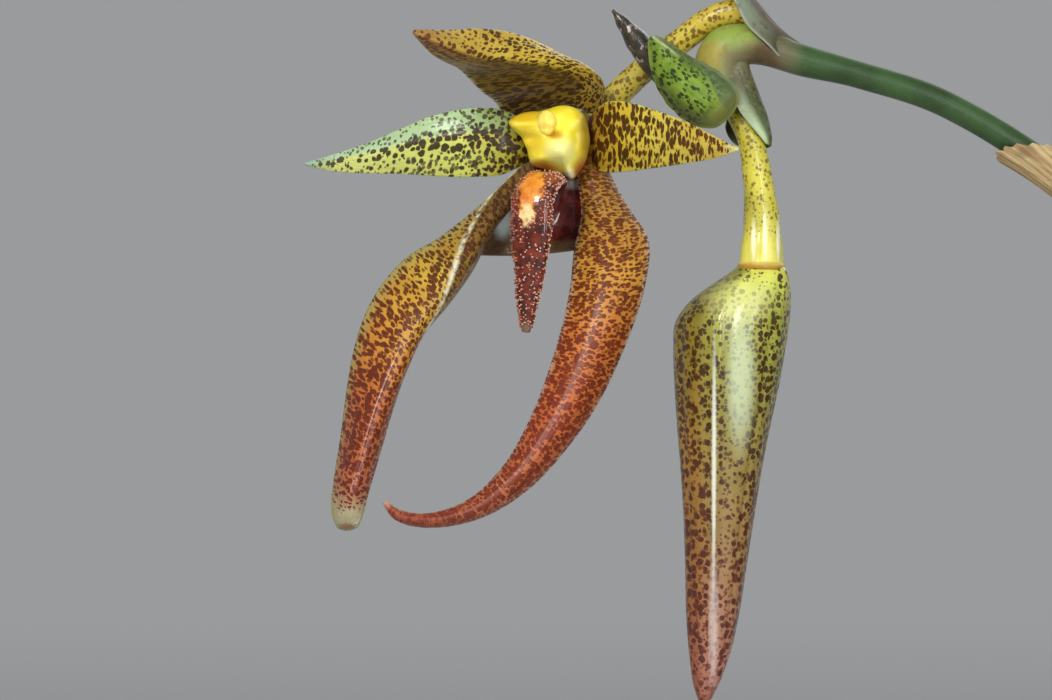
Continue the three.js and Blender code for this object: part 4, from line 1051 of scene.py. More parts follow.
budLook = {
    "ground": [(0, 216, 210, 84), (0.12, 206, 210, 92), (0.22, 172, 174, 72), (0.4, 152, 150, 66),
        (0.55, 146, 128, 62), (0.72, 156, 116, 76), (0.87, 168, 112, 94), (0.95, 164, 104, 92),
        (1, 130, 96, 76)],
    # the left face's darker ramp is painted shade
    "other": [(0, 150, 148, 50), (0.14, 122, 122, 42), (0.35, 134, 116, 40), (0.55, 150, 112, 44),
        (0.75, 146, 96, 54), (0.9, 146, 80, 62), (1, 120, 84, 62)],
    "divide": (0.46, 0.38), "cloud": (214, 214, 180),
    "spots": [
        {"cell": 1.3, "seed": 1.7, "size": [(0, 0.16), (0.08, 0.34), (0.2, 0.5), (0.5, 0.54), (0.8, 0.54),
         (1, 0.46)], "missing": 0.06,
         "ragged": 0.3, "wander": 0.4, "across": [(0, 1.0), (0.44, 1.0), (0.5, 0.75), (0.56, 0.6),
         (0.62, 1.0), (1, 1.0)],
         "colour": [(0, 60, 42, 10), (0.4, 42, 24, 6), (0.65, 66, 20, 10), (1, 80, 14, 14)],
         "tone": (96, 46, 20)},
        {"cell": 0.85, "seed": 6.3, "size": [(0, 0.16), (0.2, 0.38), (0.6, 0.44), (1, 0.46)], "missing": 0.4,
         "colour": [(0, 86, 66, 18), (0.5, 72, 40, 12), (1, 124, 44, 32)], "strength": 0.8},
    ],
    "gloss": {"rough": 0.34, "coat": 0.55, "coatRough": 0.12, "soft": 0.02, "shine": 0.3},
    "relief": 0.09,
    "touches": [
        # a painted sheen on the face right of the keel and a painted highlight line along the keel
        ((36.8, -8, -46), (2.4, 8, 12), 0.6, (224, 240, 204), 0.5),
        ((31.4, -8, -62), (0.4, 8, 22), 0.6, (240, 242, 226), 0.75),
        ((36.4, -8, -30), (6, 9, 4), 0.6, (244, 246, 160), 0.4),
        # the keel's painted highlight going on towards the tip
        ((31.4, -8, -96), (0.9, 8, 13), 0.6, (226, 212, 206), 0.5),
    ],
}


def buildBud():
    shape = budShape
    rows, sides = shape["rows"], shape["sides"]
    t = np.linspace(0, 1, rows - 1)
    line = curveAt([[x, z, half] for z, x, half in shape["rings"]], t)  # x, height and half width
    run = lengthsOf(line[:, :2])

    def skin(u, w):
        k, ends = stationOf(u, rows)
        share = k / (rows - 2)
        angle = math.pi * w - math.pi / 2
        ease = smoothStep(share, 0.02, 0.2)
        swell = 1 + 0.02 * np.cos(3 * (angle + 1.35)) * ease
        middle, wide, pressed = shape["flat"]
        swell = swell - pressed * ease * np.exp(-(((angle - middle) / wide) ** 4))
        for top, tip, height, wide in shape["lines"]:
            away = np.angle(np.exp(1j * (angle - (top + (tip - top) * share))))
            swell = swell + height * ease * np.exp(-((away / wide) ** 2))
        reach = np.where(ends, 0, line[k, 2] * swell)
        x = line[k, 0] + reach * np.cos(angle)
        y = shape["flatness"] * reach * np.sin(angle)
        points = np.stack([x, y, line[k, 1]], 1) + flowerAt
        return points, run[k], angle * line[k, 2]

    piece = gridPiece("bud", rows, sides, skin, rolled=True)
    finishPiece(piece, spottedFinish("budSkin", budLook), ["bud"])


def buildStalks():
    def flutes(u, angle):
        # faint lines that open out above the bud
        ring = 0.07 * np.exp(-(((u - 0.95) / 0.018) ** 2))
        return 1 + ring + 0.022 * np.cos(7 * angle + 0.6) * smoothStep(u, 0.5, 0.75)

    for name, stalk in stalks.items():
        relief = flutes if name == "budStalk" else None
        piece = tubePiece(name, stalk["stations"], stalk["rows"], stalk["sides"], relief, flowerAt)
        finishPiece(piece, spottedFinish(name + "Skin", stalkLooks[name]), [stalk["node"]])
    buildBud()
    print("stalks and bud done")


bracts = {
    "flowerBract": {
        "node": "flower_bract", "rows": 50, "columns": 30, "body": (0.8, 0.4), "veins": (0.08, 12),
        "wave": (0.3, 2.4, 0.3),
        "stations": [
            [[48.4, 1.2, 17.2], [49.6, 2.2, 20.6], [48.4, 3.4, 17.2]],
            [[45.6, -0.6, 18], [46.6, 2.8, 22.8], [45.6, 6, 17.8]],
            [[42.4, -1.9, 20.6], [43.8, 3, 25.4], [42.4, 7.6, 20.4]],
            [[38.6, -2.2, 24.4], [41.2, 3.2, 28.6], [38.4, 8.6, 25]],
            [[36.2, -1.8, 28.6], [38.8, 3.2, 31.4], [35.4, 8.4, 29]],
            [[34.4, -0.6, 31.4], [37, 3.4, 33.2], [33.6, 7.4, 32]],
            [[32.4, 3.2, 38.4], [32.8, 3.4, 38.6], [32.4, 3.6, 38.4]],
        ],
    },
    "budBract": {
        "node": "bud_bract", "rows": 46, "columns": 30, "body": (0.7, 0.35), "veins": (0.06, 12),
        "wave": (0.12, 2, 1.3),
        "stations": [
            [[34.6, 1.4, 20.6], [37.6, 1.6, 21], [37.6, 5.6, 20.4]],
            [[33.4, -0.4, 15.8], [38.4, 1.6, 16.8], [35.6, 8.2, 15]],
            [[34.9, -2.3, 10.8], [40.4, 2, 11.4], [35, 7.6, 8.8]],
            [[37.4, -2.2, 6.4], [41.9, 2.2, 7], [34, 6, 4.4]],
            [[40.4, -1.6, 3], [42.7, 1.8, 2.6], [36, 5.2, 1.2]],
            [[41.9, -0.4, 1.2], [42.8, 1.4, 0.6], [40.6, 4.6, 0.2]],
        ],
    },
}
bractLooks = {
    "flowerBract": {
        "ground": [(0, 50, 68, 38), (0.14, 84, 84, 60), (0.3, 86, 78, 62), (0.5, 90, 82, 70),
            (0.8, 84, 80, 70), (1, 74, 70, 60)],
        "other": [(0, 60, 74, 44), (0.3, 76, 76, 54), (0.5, 120, 130, 108), (0.8, 128, 142, 124),
            (1, 100, 112, 96)],
        "divide": (0.34, 0.12), "cloud": (190, 160, 150),
        "margin": ((150, 152, 136), 0.94, 1.0),
        "spots": [
            {"cell": (1.6, 1.2), "seed": 2.0, "size": [(0, 0.3), (1, 0.3)], "missing": 0.6, "soft": 0.15,
             "ragged": 0.5,
             "colour": [(0, 60, 46, 34), (1, 54, 46, 38)], "strength": 0.4},
        ],
        "gloss": {"rough": 0.5, "coat": 0.15, "coatRough": 0.3, "soft": 0.02, "shine": 0.35},
    },
    "budBract": {
        "ground": [(0, 120, 114, 70), (0.2, 100, 96, 66), (0.45, 84, 92, 58), (0.8, 88, 106, 68),
            (1, 92, 106, 62)],
        # a whitish painted sheen along one side
        "other": [(0, 120, 114, 72), (0.3, 100, 98, 68), (0.42, 150, 170, 134), (0.7, 186, 206, 166),
            (0.9, 182, 200, 150), (1, 150, 160, 110)],
        "divide": (0.19, 0.07), "cloud": (190, 176, 160),
        "margin": ((120, 134, 104), 0.95, 1.0),
        "spots": [
            {"cell": (1.7, 1.2), "seed": 3.0, "size": [(0, 0.2), (0.3, 0.42), (1, 0.4)], "missing": 0.3,
             "soft": 0.12, "ragged": 0.6,
             "across": [(0, 0.0), (0.12, 0.0), (0.3, 1.0), (1, 1.0)],
             "colour": [(0, 54, 54, 32), (1, 36, 48, 24)], "strength": 0.8},
            {"cell": (0.8, 0.7), "seed": 5.0, "size": [(0, 0.4), (0.5, 0.36), (0.7, 0.0)], "missing": 0.4,
             "soft": 0.2,
             "colour": [(0, 140, 132, 96), (1, 130, 124, 90)], "strength": 0.4},
        ],
        # near-black painted shade on the bract's inner face
        "touches": [((32.6, 5, 4.5), (3.4, 5.5, 5.5), 0.6, (34, 30, 14), 0.9)],
        "gloss": {"rough": 0.45, "coat": 0.2, "coatRough": 0.22, "soft": 0.02, "shine": 0.35},
    },
}

youngBud = [
    [22.6, -2.8, 13.4, 2.2],
    [19.4, -2.4, 17.4, 2.6],
    [16.4, -2.8, 21.4, 2.3],
    [13.6, -3.2, 25, 1.4],
    [11.3, -3.6, 27.8, 0.35],
]
youngBract = {
    # x and z of the outline, from the pointed tip down the left side and back along the top
    "outline": [
        (18.8, 22.6), (18.9, 19.6), (19.3, 16.4), (20.2, 13.6), (21.8, 10.8), (24, 8.2), (26.6, 6.1),
            (29.4, 4.9),
        (31.8, 4.9), (33.6, 6.2), (35.4, 8.4), (36.2, 10.4), (35.2, 12.6), (33, 14.4), (30.6, 16),
            (28.4, 17.1),
        (26.6, 17.9), (24.6, 19.1), (22, 20.8),
    ],
    "middle": (27.6, 11.4), "rows": 44, "sides": 120, "deep": 6.0, "rimTip": -5.4, "rimBase": -1.2,
    "turned": 0.82,  # from here on the skin turns back behind the rim
    "fold": ((18.8, 22.6), (33.4, 11.6), 0.45),
    "wall": 0.7,
}


def youngBractFinish():
    # bright green below its fold with dark strokes, grey-green above it
    p = newFinish("youngBractSkin", rough=0.5, coat=0.1, coatRough=0.25, soft=0.02, shine=0.22)
    place = p.place()
    x, _, z = p.parts(place)
    tipX, tipZ = flowerAt[0] + 18.8, flowerAt[2] + 22.6
    # how far above the fold that runs down to the right from the point, and how far along it
    above = p.math("SUBTRACT", p.math("ADD", p.times(x, 0.6), p.times(z, 0.8)), 0.6 * tipX + 0.8 * tipZ)
    along = p.math("SUBTRACT", p.math("SUBTRACT", p.times(x, 0.8), p.times(z, 0.6)), 0.8 * tipX - 0.6 * tipZ)
    over = p.span(above, -1.8, 1.8)
    cloud = p.span(p.noise(place, 0.35, 3), 0.3, 0.7)
    below = p.mix(cloud, (102, 130, 36), (132, 158, 56))
    below = p.mix(p.span(above, -4.6, -8), below, (96, 110, 48))
    paint = p.mix(over, below, p.mix(cloud, (84, 104, 58), (104, 124, 82)))
    streaks = p.noise(p.vector("MULTIPLY", place, (2.2, 0.4, 0.5)), 0.9, 3)
    base = p.times(p.span(along, 17, 21), p.span(streaks, 0.3, 0.6, 0.5, 1.0))
    paint = p.mix(base, paint, (124, 122, 66))
    lower = p.span(along, 12, 20, 0.7, -2.6)
    flap = p.times(p.span(p.math("SUBTRACT", above, lower), -0.1, 0.5), p.span(along, 8, 11))
    flap = p.times(p.times(flap, p.span(along, 21.5, 19.5)), 0.7)
    paint = p.mix(flap, paint, p.mix(cloud, (78, 92, 60), (100, 118, 82)))
    paint = p.mix(p.span(p.zone()[0], 0.8, 0.88, 0.0, 0.65), paint, (90, 100, 46))
    beside = p.span(p.math("ABSOLUTE", above), 0.1, 0.5)
    fold = p.times(p.blob(place, (21.4, 0, 19.6), (2.8, 40, 3.6), 0.5), p.math("SUBTRACT", 1.0, beside))
    paint = p.mix(fold, paint, (170, 176, 120))
    slanted = p.node("Mapping", {"Vector": place, "Rotation": (0, math.radians(-37), 0)}).outputs[0]
    slanted = p.vector("MULTIPLY", slanted, (0.95, 0.5, 1.5))
    strokes = {"Vector": slanted, "Size": 0.5, "Missing": 0.3, "Ragged": 0.6, "Soft": 0.1}
    strokes = p.node("Group", strokes, node_tree=groups["solid"]).outputs["Mask"]
    share = p.times(p.times(strokes, p.span(over, 0, 1, 0.9, 0.3)), p.span(along, 20, 16))
    return p.dress(p.mix(share, paint, (30, 44, 14)), p.skin(place, 3.0), 0.08)


def youngBudFinish():
    p = newFinish("youngBudSkin", rough=0.32, coat=0.4, coatRough=0.14, shine=0.35)
    place = p.place()
    paint = p.mix(p.span(p.noise(place, 0.4, 3), 0.35, 0.65), (34, 30, 20), (62, 54, 38))
    pale = p.span(p.noise(p.vector("MULTIPLY", place, (1, 1, 0.6)), 0.9, 3), 0.56, 0.66)
    low = p.blob(place, (14.4, -5, 21), (3.2, 4, 5.5), 0.4)
    return p.dress(p.mix(p.times(pale, low), paint, (190, 172, 176)), p.noise(place, 2.0, 3), 0.12)


def buildBracts():
    for name, look in bracts.items():
        piece = bladePiece(name, look)
        finishPiece(piece, spottedFinish(name + "Skin", bractLooks[name]), [look["node"]])
    look = youngBract
    start, end, height = look["fold"]
    line = np.array(end) - start
    line = line / np.hypot(*line)

    def skin(u, w):
        angle = math.pi * w
        reach = sum(outlineReach(angle + k * 0.04, look) for k in range(-1, 2)) / 3
        share = np.sin(math.pi / 2 * np.minimum(u / look["turned"], 1)) - 0.1 * smoothStep(u, look["turned"], 1)
        x = look["middle"][0] + share * reach * np.cos(angle)
        z = look["middle"][1] + share * reach * np.sin(angle)
        rim = look["rimBase"] + (look["rimTip"] - look["rimBase"]) * smoothStep(z - x, -14, 0)
        y = rim - 1.2 - look["deep"] * np.sqrt(np.maximum(1 - share**2, 0)) * smoothStep(u, 1, 0.8)
        y = y + 2.4 * smoothStep(u, look["turned"], 1)
        across = (x - start[0]) * -line[1] + (z - start[1]) * line[0]
        along = (x - start[0]) * line[0] + (z - start[1]) * line[1]
        y = y - height * np.exp(-((across / 0.55) ** 2)) * smoothStep(along, 19, 4)
        y = y - 0.35 * smoothStep(across, 0.4, 2.4) * smoothStep(along, 6, 14)
        y = y + 0.06 * np.sin(5 * across) * (1 - share)
        return np.stack([x, y, z], 1) + flowerAt, x, z

    piece = gridPiece("youngBract", look["rows"], look["sides"], skin, rolled=True)
    thicken(piece, look["wall"], offset=-1.0)
    finishPiece(piece, youngBractFinish(), ["young_bract"], angle=50)

    def keels(u, angle):
        return 1 + 0.09 * np.abs(np.cos(1.5 * angle)) ** 3 * smoothStep(u, 0.1, 0.4)

    bud = tubePiece("youngBud", youngBud, 44, 36, keels, flowerAt)
    finishPiece(bud, youngBudFinish(), ["young_bud"])
    print("bracts done")


# flowering stem

barkSurface = 99.0
bulbFoot = barkSurface + 6
seatGap = 0.35
stemPath = [
    [-15, 3, bulbFoot + seatGap + 0.2, 3.2],
    [-17.5, 2.4, 145, 2.8],
    [-23, 1, 190, 2.8],
    [-36, 0.4, 240, 2.8],
    [-58, 1, 287, 2.8],
    [-84, 1.6, 321, 2.8],
    [-110.4, 2, 339, 2.7],
    [-128, 2, 345, 2.7],
    [-141, 2.2, 348.4, 3.2],
    [-149, 2.6, 351.2, 4],
    [-155, 3, 350, 4.8],
    [-156.6, 3.2, 344.4, 4.9],
    [-154.2, 3, 338.8, 3.6],
]
stemSleeves = [
    {"from": 0.012, "to": 0.1, "inside": 3.6, "wall": 0.9, "flare": 1.6, "point": 2.4, "slant": 0.45},
    {"from": 0.2, "to": 0.272, "inside": 3.2, "wall": 0.8, "flare": 0.8, "point": 0.9, "slant": 0.5},
    {"from": 0.4, "to": 0.465, "inside": 3.3, "wall": 0.8, "flare": 0.8, "point": 4.1, "slant": 0.5},
]


def stemFinish():
    p = newFinish("stemSkin", rough=0.45, coat=0.1, coatRough=0.3, shine=0.3)
    place = p.place()
    green = p.mix(p.span(p.noise(place, 0.12, 4), 0.3, 0.7), (36, 60, 28), (54, 84, 42))
    hump = p.span(p.parts(place)[0], flowerAt[0] + 46, flowerAt[0] + 40)
    colourPatches = [
        ((30, 0, 18.4), (4.4, 9, 3.4), 0.5, (158, 146, 62)),
        ((37, 0, 16.8), (4, 9, 4), 0.5, (118, 112, 78)),
        ((42.6, 0, 19), (4.4, 9, 4), 0.5, (84, 66, 42)),
    ]
    paint = p.touches(p.mix(hump, green, (136, 156, 64)), place, colourPatches)
    mottle = p.span(p.noise(place, 0.5, 4, 0.65), 0.5, 0.62)
    paint = p.mix(p.times(mottle, p.times(hump, 0.45)), paint, (128, 104, 76))
    paint = p.touches(paint, place, [((46.4, 0, 19), (2.4, 8, 5), 0.6, (104, 104, 74), 0.6)])
    fleck = p.span(p.noise(place, 3.2, 3), 0.58, 0.72)
    paint = p.mix(p.times(fleck, 0.22), paint, (130, 140, 96))
    return p.dress(paint, p.drawn(p.surface(), (0.15, 1.6, 1), 3), 0.12)


def paperFinish(name, light, dark):
    # a dry, fibrous sheath
    p = newFinish(name, rough=0.75)
    fibres = p.drawn(p.surface(), (0.08, 1.9, 1), 5, 0.65)
    cloud = p.span(p.noise(p.place(), 0.13, 3), 0.55, 0.75, 0, 0.6)
    return p.dress(p.mix(cloud, p.mix(p.span(fibres, 0.35, 0.65), dark, light), (96, 66, 40)), fibres, 0.35)


def buildStem(paper):
    def nodes(u, angle):
        # low rings where the sleeves grow
        swell = sum(0.16 * np.exp(-(((u - s["from"]) / 0.006) ** 2)) for s in stemSleeves)
        return 1 + swell + 0.006 * np.cos(5 * angle)

    piece = tubePiece("floweringStem", stemPath, 260, 40, nodes)
    finishPiece(piece, stemFinish(), ["scape"])
    steps = 480
    at, side, up, _, length = framesAlong(stemPath, steps)
    for number, s in enumerate(stemSleeves, 1):

        def skin(u, w, s=s):
            angle = math.pi * w
            reach = 1 - s["slant"] * (0.5 - 0.5 * np.cos(angle + math.pi - s["point"]))
            torn = 1 - 0.05 * np.abs(np.sin(7.3 * angle + number)) * u**3
            along = np.clip(s["from"] + (s["to"] - s["from"]) * reach * torn * u, 0, 1)
            k = np.rint(along * steps).astype(int)
            out = s["inside"] + s["wall"] / 2 + s["flare"] * u * u + 0.12 * np.sin(9 * angle) * u
            way = -side[k] * np.cos(angle)[:, None] + up[k] * np.sin(angle)[:, None]
            return at[k] + way * out[:, None], length[k], angle * s["inside"]

        sleeve = gridPiece(f"stemSheath{number}", 30, 60, skin, rolled=True)
        applyModifier(sleeve, "SMOOTH", factor=0.4, iterations=2)
        thicken(sleeve, 0.55)
        finishPiece(sleeve, paper, [f"scape_sheath_{number}"], angle=50)
    print("flowering stem done")


# pseudobulbs, their sheaths and leaves

bulbs = [
    {"x": 40, "y": 14, "height": 45, "radius": 14.5, "lean": 6, "azimuth": 28, "leaf": 236, "width": 62,
     "droop": 58},
    {"x": 25, "y": -16, "height": 43, "radius": 14, "lean": 5, "azimuth": -48, "leaf": 218, "width": 60,
     "droop": 66},
    {"x": 3, "y": 19, "height": 47, "radius": 15, "lean": 4, "azimuth": 84, "leaf": 240, "width": 64,
     "droop": 44},
    {"x": -11, "y": -19, "height": 42, "radius": 13.5, "lean": 4, "azimuth": -84, "leaf": 196, "width": 54,
     "droop": 60},
    {"x": -37, "y": 10, "height": 35, "radius": 12, "lean": 5, "azimuth": 112, "leaf": 152, "width": 44,
     "droop": 40},
]
# share of the height, share of the radius
bulbProfile = [(0, 0.5), (0.14, 0.84), (0.32, 1), (0.5, 0.95), (0.7, 0.73), (0.87, 0.45), (1, 0.28)]
bulbGrid = {"rows": 64, "sides": 112}
sheathGrid = {"rows": 14, "sides": 120, "high": 0.34, "wall": 0.5}
leafShape = {
    "stalkShare": 0.17, "stalkHalf": 3.0, "stalkThick": (4.6, 2.4), "bladeThick": (1.5, 0.7), "rib": 0.7,
    "rows": 112, "columns": 40, "steps": 60, "curve": 1.7,
}


def headingOf(b):
    azimuth = math.radians(b["azimuth"])
    return np.array([math.cos(azimuth), math.sin(azimuth), 0.0])


def placesRound(b, angle, reach, height):
    # points of a leaning bulb and what it gives gridPiece as lengths
    slope = headingOf(b) * math.tan(math.radians(b["lean"]))
    middle = np.array([b["x"], b["y"], bulbFoot + seatGap]) + slope * height[:, None]
    ring = np.stack([reach * np.cos(angle), reach * np.sin(angle), height], 1)
    return middle + ring, height, angle * b["radius"]


def buildBulb(number, b, material):
    rows = bulbGrid["rows"]
    line = curveAt([(*row, 0) for row in bulbProfile], np.linspace(0, 1, rows - 1))

    def skin(u, w):
        k, ends = stationOf(u, rows)
        angle = math.pi * w + math.pi / 2
        share, wide = line[k, 0], line[k, 1]
        rib = np.abs(np.cos(3.5 * angle + 0.5 * math.sin(number))) ** 1.4
        full = 0.93 + 0.09 * rib * smoothStep(share, 0.02, 0.25)
        wrinkle = 0.008 * np.sin(23 * angle + 3 * np.sin(9 * share + number)) * smoothStep(share, 1.0, 0.6)
        reach = np.where(ends, 0, b["radius"] * wide * (full + wrinkle))
        return placesRound(b, angle, reach, b["height"] * share)

    piece = gridPiece(f"bulb{number}", rows, bulbGrid["sides"], skin, rolled=True)
    finishPiece(piece, material, [f"pseudobulb_{number}"])


def buildBulbSheath(number, b, material):
    grid = sheathGrid
    dice = random.Random(40 + number)
    phases = [dice.uniform(0, 6.28) for _ in range(4)]

    def skin(u, w):
        angle = math.pi * w + math.pi / 2
        share = u * grid["high"]
        wide = np.interp(share, [0, 0.16, 0.34], [0.62, 0.88, 1.04])
        tear = 2.6 * np.sin(4 * angle + phases[0]) + 1.8 * np.sin(9 * angle + phases[1])
        tear = tear + 1.6 * np.abs(np.sin(14 * angle + phases[2])) - 1.5
        height = b["height"] * share + 0.6 + np.clip(tear, -4, 4) * u**2
        curl = 0.9 * u**3 * (1 + np.sin(3 * angle + phases[3]))
        reach = b["radius"] * wide + 2.0 + curl * 0.5 + 0.12 * np.sin(40 * angle)
        return placesRound(b, angle, reach, height)

    piece = gridPiece(f"bulbSheath{number}", grid["rows"], grid["sides"], skin, rolled=True)
    thicken(piece, grid["wall"])
    finishPiece(piece, material, [f"bulb_sheath_{number}"], angle=55)


def buildLeaf(number, b, material):
    look = leafShape
    stalk, stalkHalf = look["stalkShare"], look["stalkHalf"]
    lean = math.radians(b["lean"])
    heading = headingOf(b)
    top = bulbFoot + 2 * seatGap + b["height"] + stalkHalf * math.sin(lean)
    start = np.array([b["x"], b["y"], top]) + heading * math.tan(lean) * b["height"]
    across = np.array([-heading[1], heading[0], 0])
    steps = look["steps"]

    def tiltAt(u):
        # two columns, which turn a way out and a way up by the leaf's droop
        tilt = np.radians(b["lean"] + b["droop"] * u ** look["curve"])
        return np.sin(tilt)[:, None], np.cos(tilt)[:, None]

    out, up = tiltAt((np.arange(steps) + 0.5) / steps)
    moves = (heading * out + np.array([0, 0, 1]) * up) * b["leaf"] / steps
    spine = np.vstack([start, start + np.cumsum(moves, axis=0)])

    def skin(u, w):
        q = np.clip((u - stalk) / (1 - stalk), 0, 1)
        full = np.sin(math.pi * np.minimum(q**0.86, 1)) ** 0.72
        half = np.maximum(stalkHalf * (1 - q) + (b["width"] / 2 - 1) * full, 0.5)
        half = np.where(u < stalk, stalkHalf, half)
        blade = smoothStep(u, stalk, stalk + 0.12)
        out, up = tiltAt(u)
        inwards = -heading * up + np.array([0, 0, 1]) * out
        lift = half * 0.3 * np.abs(w) ** 1.3 * blade + 1.1 * np.sin(9 * u + 1.3 * w) * w * w * blade
        lift = lift - 0.7 * np.exp(-((w / 0.05) ** 2)) * blade * smoothStep(u, 1, 0.85)
        lift = lift + 0.09 * np.cos(math.pi * 11 * w) * blade
        places = np.stack([np.interp(u * steps, np.arange(steps + 1), spine[:, k]) for k in range(3)], 1)
        points = places + across * (w * half)[:, None] + inwards * lift[:, None]
        return points, u * b["leaf"], w * half

    piece = gridPiece(f"leaf{number}", look["rows"], look["columns"], skin)
    u, w = gridShares(look["rows"] + 1, look["columns"] + 1)
    blade = smoothStep(u, stalk, stalk + 0.12)
    (stalkFull, stalkLoss), (bladeFull, bladeLoss) = look["stalkThick"], look["bladeThick"]
    thick = (stalkFull - stalkLoss * w * w) * (1 - blade) + (bladeFull - bladeLoss * np.abs(w)) * blade
    thick = thick + look["rib"] * np.exp(-((w / 0.07) ** 2)) * blade
    thicken(piece, stalkFull, thick / stalkFull)
    finishPiece(piece, material, [f"leaf_{number}"], angle=50)


def bulbFinish():
    p = newFinish("bulbSkin", rough=0.4, coat=0.15, soft=0.08)
    place = p.place()
    u = p.zone()[0]
    green = p.mix(p.span(p.noise(place, 0.06, 4), 0.35, 0.65), (104, 128, 44), (140, 152, 62))
    paint = p.mix(p.span(u, 0.35, 0.05), green, (132, 118, 62))
    paint = p.mix(p.span(u, 0.88, 1.0), paint, (96, 84, 44))
    scar = p.span(p.noise(place, 0.35, 5, 0.7), 0.6, 0.68)
    paint = p.mix(p.times(scar, 0.6), paint, (110, 92, 52))
    return p.dress(paint, p.drawn(p.surface(), (0.05, 1.1, 1), 4), 0.35)


def leafFinish():
    p = newFinish("leafSkin", rough=0.38, coat=0.22, coatRough=0.22, soft=0.06)
    place = p.place()
    u, v = p.zone()
    edge = p.edge(v)
    long = p.drawn(p.surface(), (0.02, 0.9, 1), 4, 0.6)
    fleck = p.span(p.noise(place, 0.5, 3), 0.68, 0.72)
    paint = p.mix(p.span(p.noise(place, 0.03, 4), 0.35, 0.65), (46, 86, 34), (64, 108, 44))
    layers = [
        (p.span(long, 0.35, 0.65, 0, 0.5), (78, 122, 52)),
        (p.span(edge, 0.06, 0.015), (108, 140, 70)),
        (p.span(u, 0.2, 0.1), (92, 116, 52)),
        (p.span(u, 0.965, 1.0), (150, 132, 70)),
        (p.span(edge, 0.95, 1.0, 0, 0.5), (120, 136, 66)),
        (p.times(fleck, 0.5), (120, 118, 66)),
    ]
    for share, colour in layers:
        paint = p.mix(share, paint, colour)
    height = p.math("ADD", p.times(long, 0.8), p.times(p.noise(place, 1.2, 3), 0.25))
    return p.dress(paint, height, 0.4)


def buildBulbs(paper):
    bulbSkin, leafSkin = bulbFinish(), leafFinish()
    for number, b in enumerate(bulbs, 1):
        buildBulb(number, b, bulbSkin)
        buildBulbSheath(number, b, paper)
        buildLeaf(number, b, leafSkin)
    print("bulbs, sheaths and leaves done")


# creeping stem and roots

creeping = {
    "path": [
        [54, 6, 1, 3.2], [38, 1, 1.4, 4.2], [20, 1, 1, 3.8], [2, 0, 1.6, 4.2],
        [-16, -3, 1.2, 3.8], [-32, 0, 1.4, 4.2], [-47, 0, 2.6, 2.4],
    ],
    "branches": [([38, 1], 0), ([24, 1], 1), ([4, 0], 2), ([-12, -2], 3), ([-32, 0], 4), ([-14, -2], None)],
    "roots": [
        [[44, 3, 2], [50, -7, 2.4], [49, -18, 1.8], [44, -27, -6]],
        [[30, 1, 2], [36, -16, 2.2], [42, -27, 1.6], [36, -38, -1], [33, -41, -7]],
        [[12, 0, 2], [10, -18, 2.2], [16, -34, 2], [10, -46, -6]],
        [[-6, -2, 2], [-28, -16, 2.4], [-30, -32, 1.6], [-22, -42, -6]],
        [[-22, -1, 2], [-26, 18, 2.2], [-18, 36, 1.8], [-22, 46, -6]],
        [[20, 1, 2], [22, 22, 2.2], [16, 38, 1.8], [22, 48, -6]],
    ],
    "rimRoots": [([-42, 0, 2], 200, 1.6, 10), ([50, 5, 2], -14, 1.2, 9)],
    # radius and height of a root that climbs over the rim
    "overRim": [
        [50, 3.4], [53.4, 8], [55.4, 13], [59.4, 16], [65, 16.2],
        [69.4, 13.6], [70.6, 6], [70, -5], [67.4, -19], [68.6, -34],
    ],
    "rootRadius": 1.5, "rootBase": 2,
}


def buildCreepingStem():
    low = barkSurface + 1.2
    scapeFoot = stemPath[0][:2]
    path = [[x, y, barkSurface + up, r] for x, y, up, r in creeping["path"]]

    def rings(u, angle):
        return 1 + 0.07 * np.abs(np.sin(math.pi * 17 * u)) ** 6 + 0.02 * np.sin(5 * angle + 30 * u)

    piece = tubePiece("creepingStem", path, 160, 28, rings)
    parts = []
    for k, (start, bulb) in enumerate(creeping["branches"]):
        x, y = scapeFoot if bulb is None else (bulbs[bulb]["x"], bulbs[bulb]["y"])
        parts.append(tubePiece(f"branch{k}", [[*start, low, 3], [x, y, low, 3.2]], 24, 20, rings))
        parts.append(tubePiece(f"stub{k}", [[x, y, low, 3.6], [x, y, bulbFoot, 3.9]], 16, 24, rings))
    joinInto(piece, parts)
    routes = list(creeping["roots"])
    for start, azimuth, drift, reach in creeping["rimRoots"]:
        route = [start]
        for k, (r, up) in enumerate(creeping["overRim"][:reach]):
            angle = math.radians(azimuth + drift * k)
            route.append([r * math.cos(angle), r * math.sin(angle), up])
        routes.append(route)

    def bumps(u, angle):
        return 1 + 0.05 * np.sin(37 * u + 2 * np.sin(angle)) + 0.04 * np.sin(3 * angle + 61 * u)

    parts, rootSkin = [], rootFinish()
    for k, route in enumerate(routes):
        radii = [creeping["rootBase"]] + [creeping["rootRadius"]] * (len(route) - 1)
        stations = [[x, y, barkSurface + up, r] for (x, y, up), r in zip(route, radii)]
        parts.append(tubePiece(f"root{k}", stations, 26 * len(stations), 16, bumps))
        parts[-1].data.materials.append(rootSkin)
    piece.data.materials.append(creepingFinish())
    joinInto(piece, parts)
    pickOnly(piece)
    bpy.ops.object.shade_smooth()
    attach(piece, "root")
    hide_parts("rhizome")
    print("creeping stem and roots done")


def creepingFinish():
    p = newFinish("creepingSkin", rough=0.7)
    fibres = p.drawn(p.surface(), (0.1, 1.8, 1), 5, 0.65)
    paint = p.mix(p.span(fibres, 0.35, 0.65), (96, 78, 44), (164, 142, 92))
    cloud = p.span(p.noise(p.place(), 0.12, 3), 0.45, 0.65)
    return p.dress(p.mix(p.times(cloud, 0.6), paint, (112, 116, 56)), fibres, 0.5)


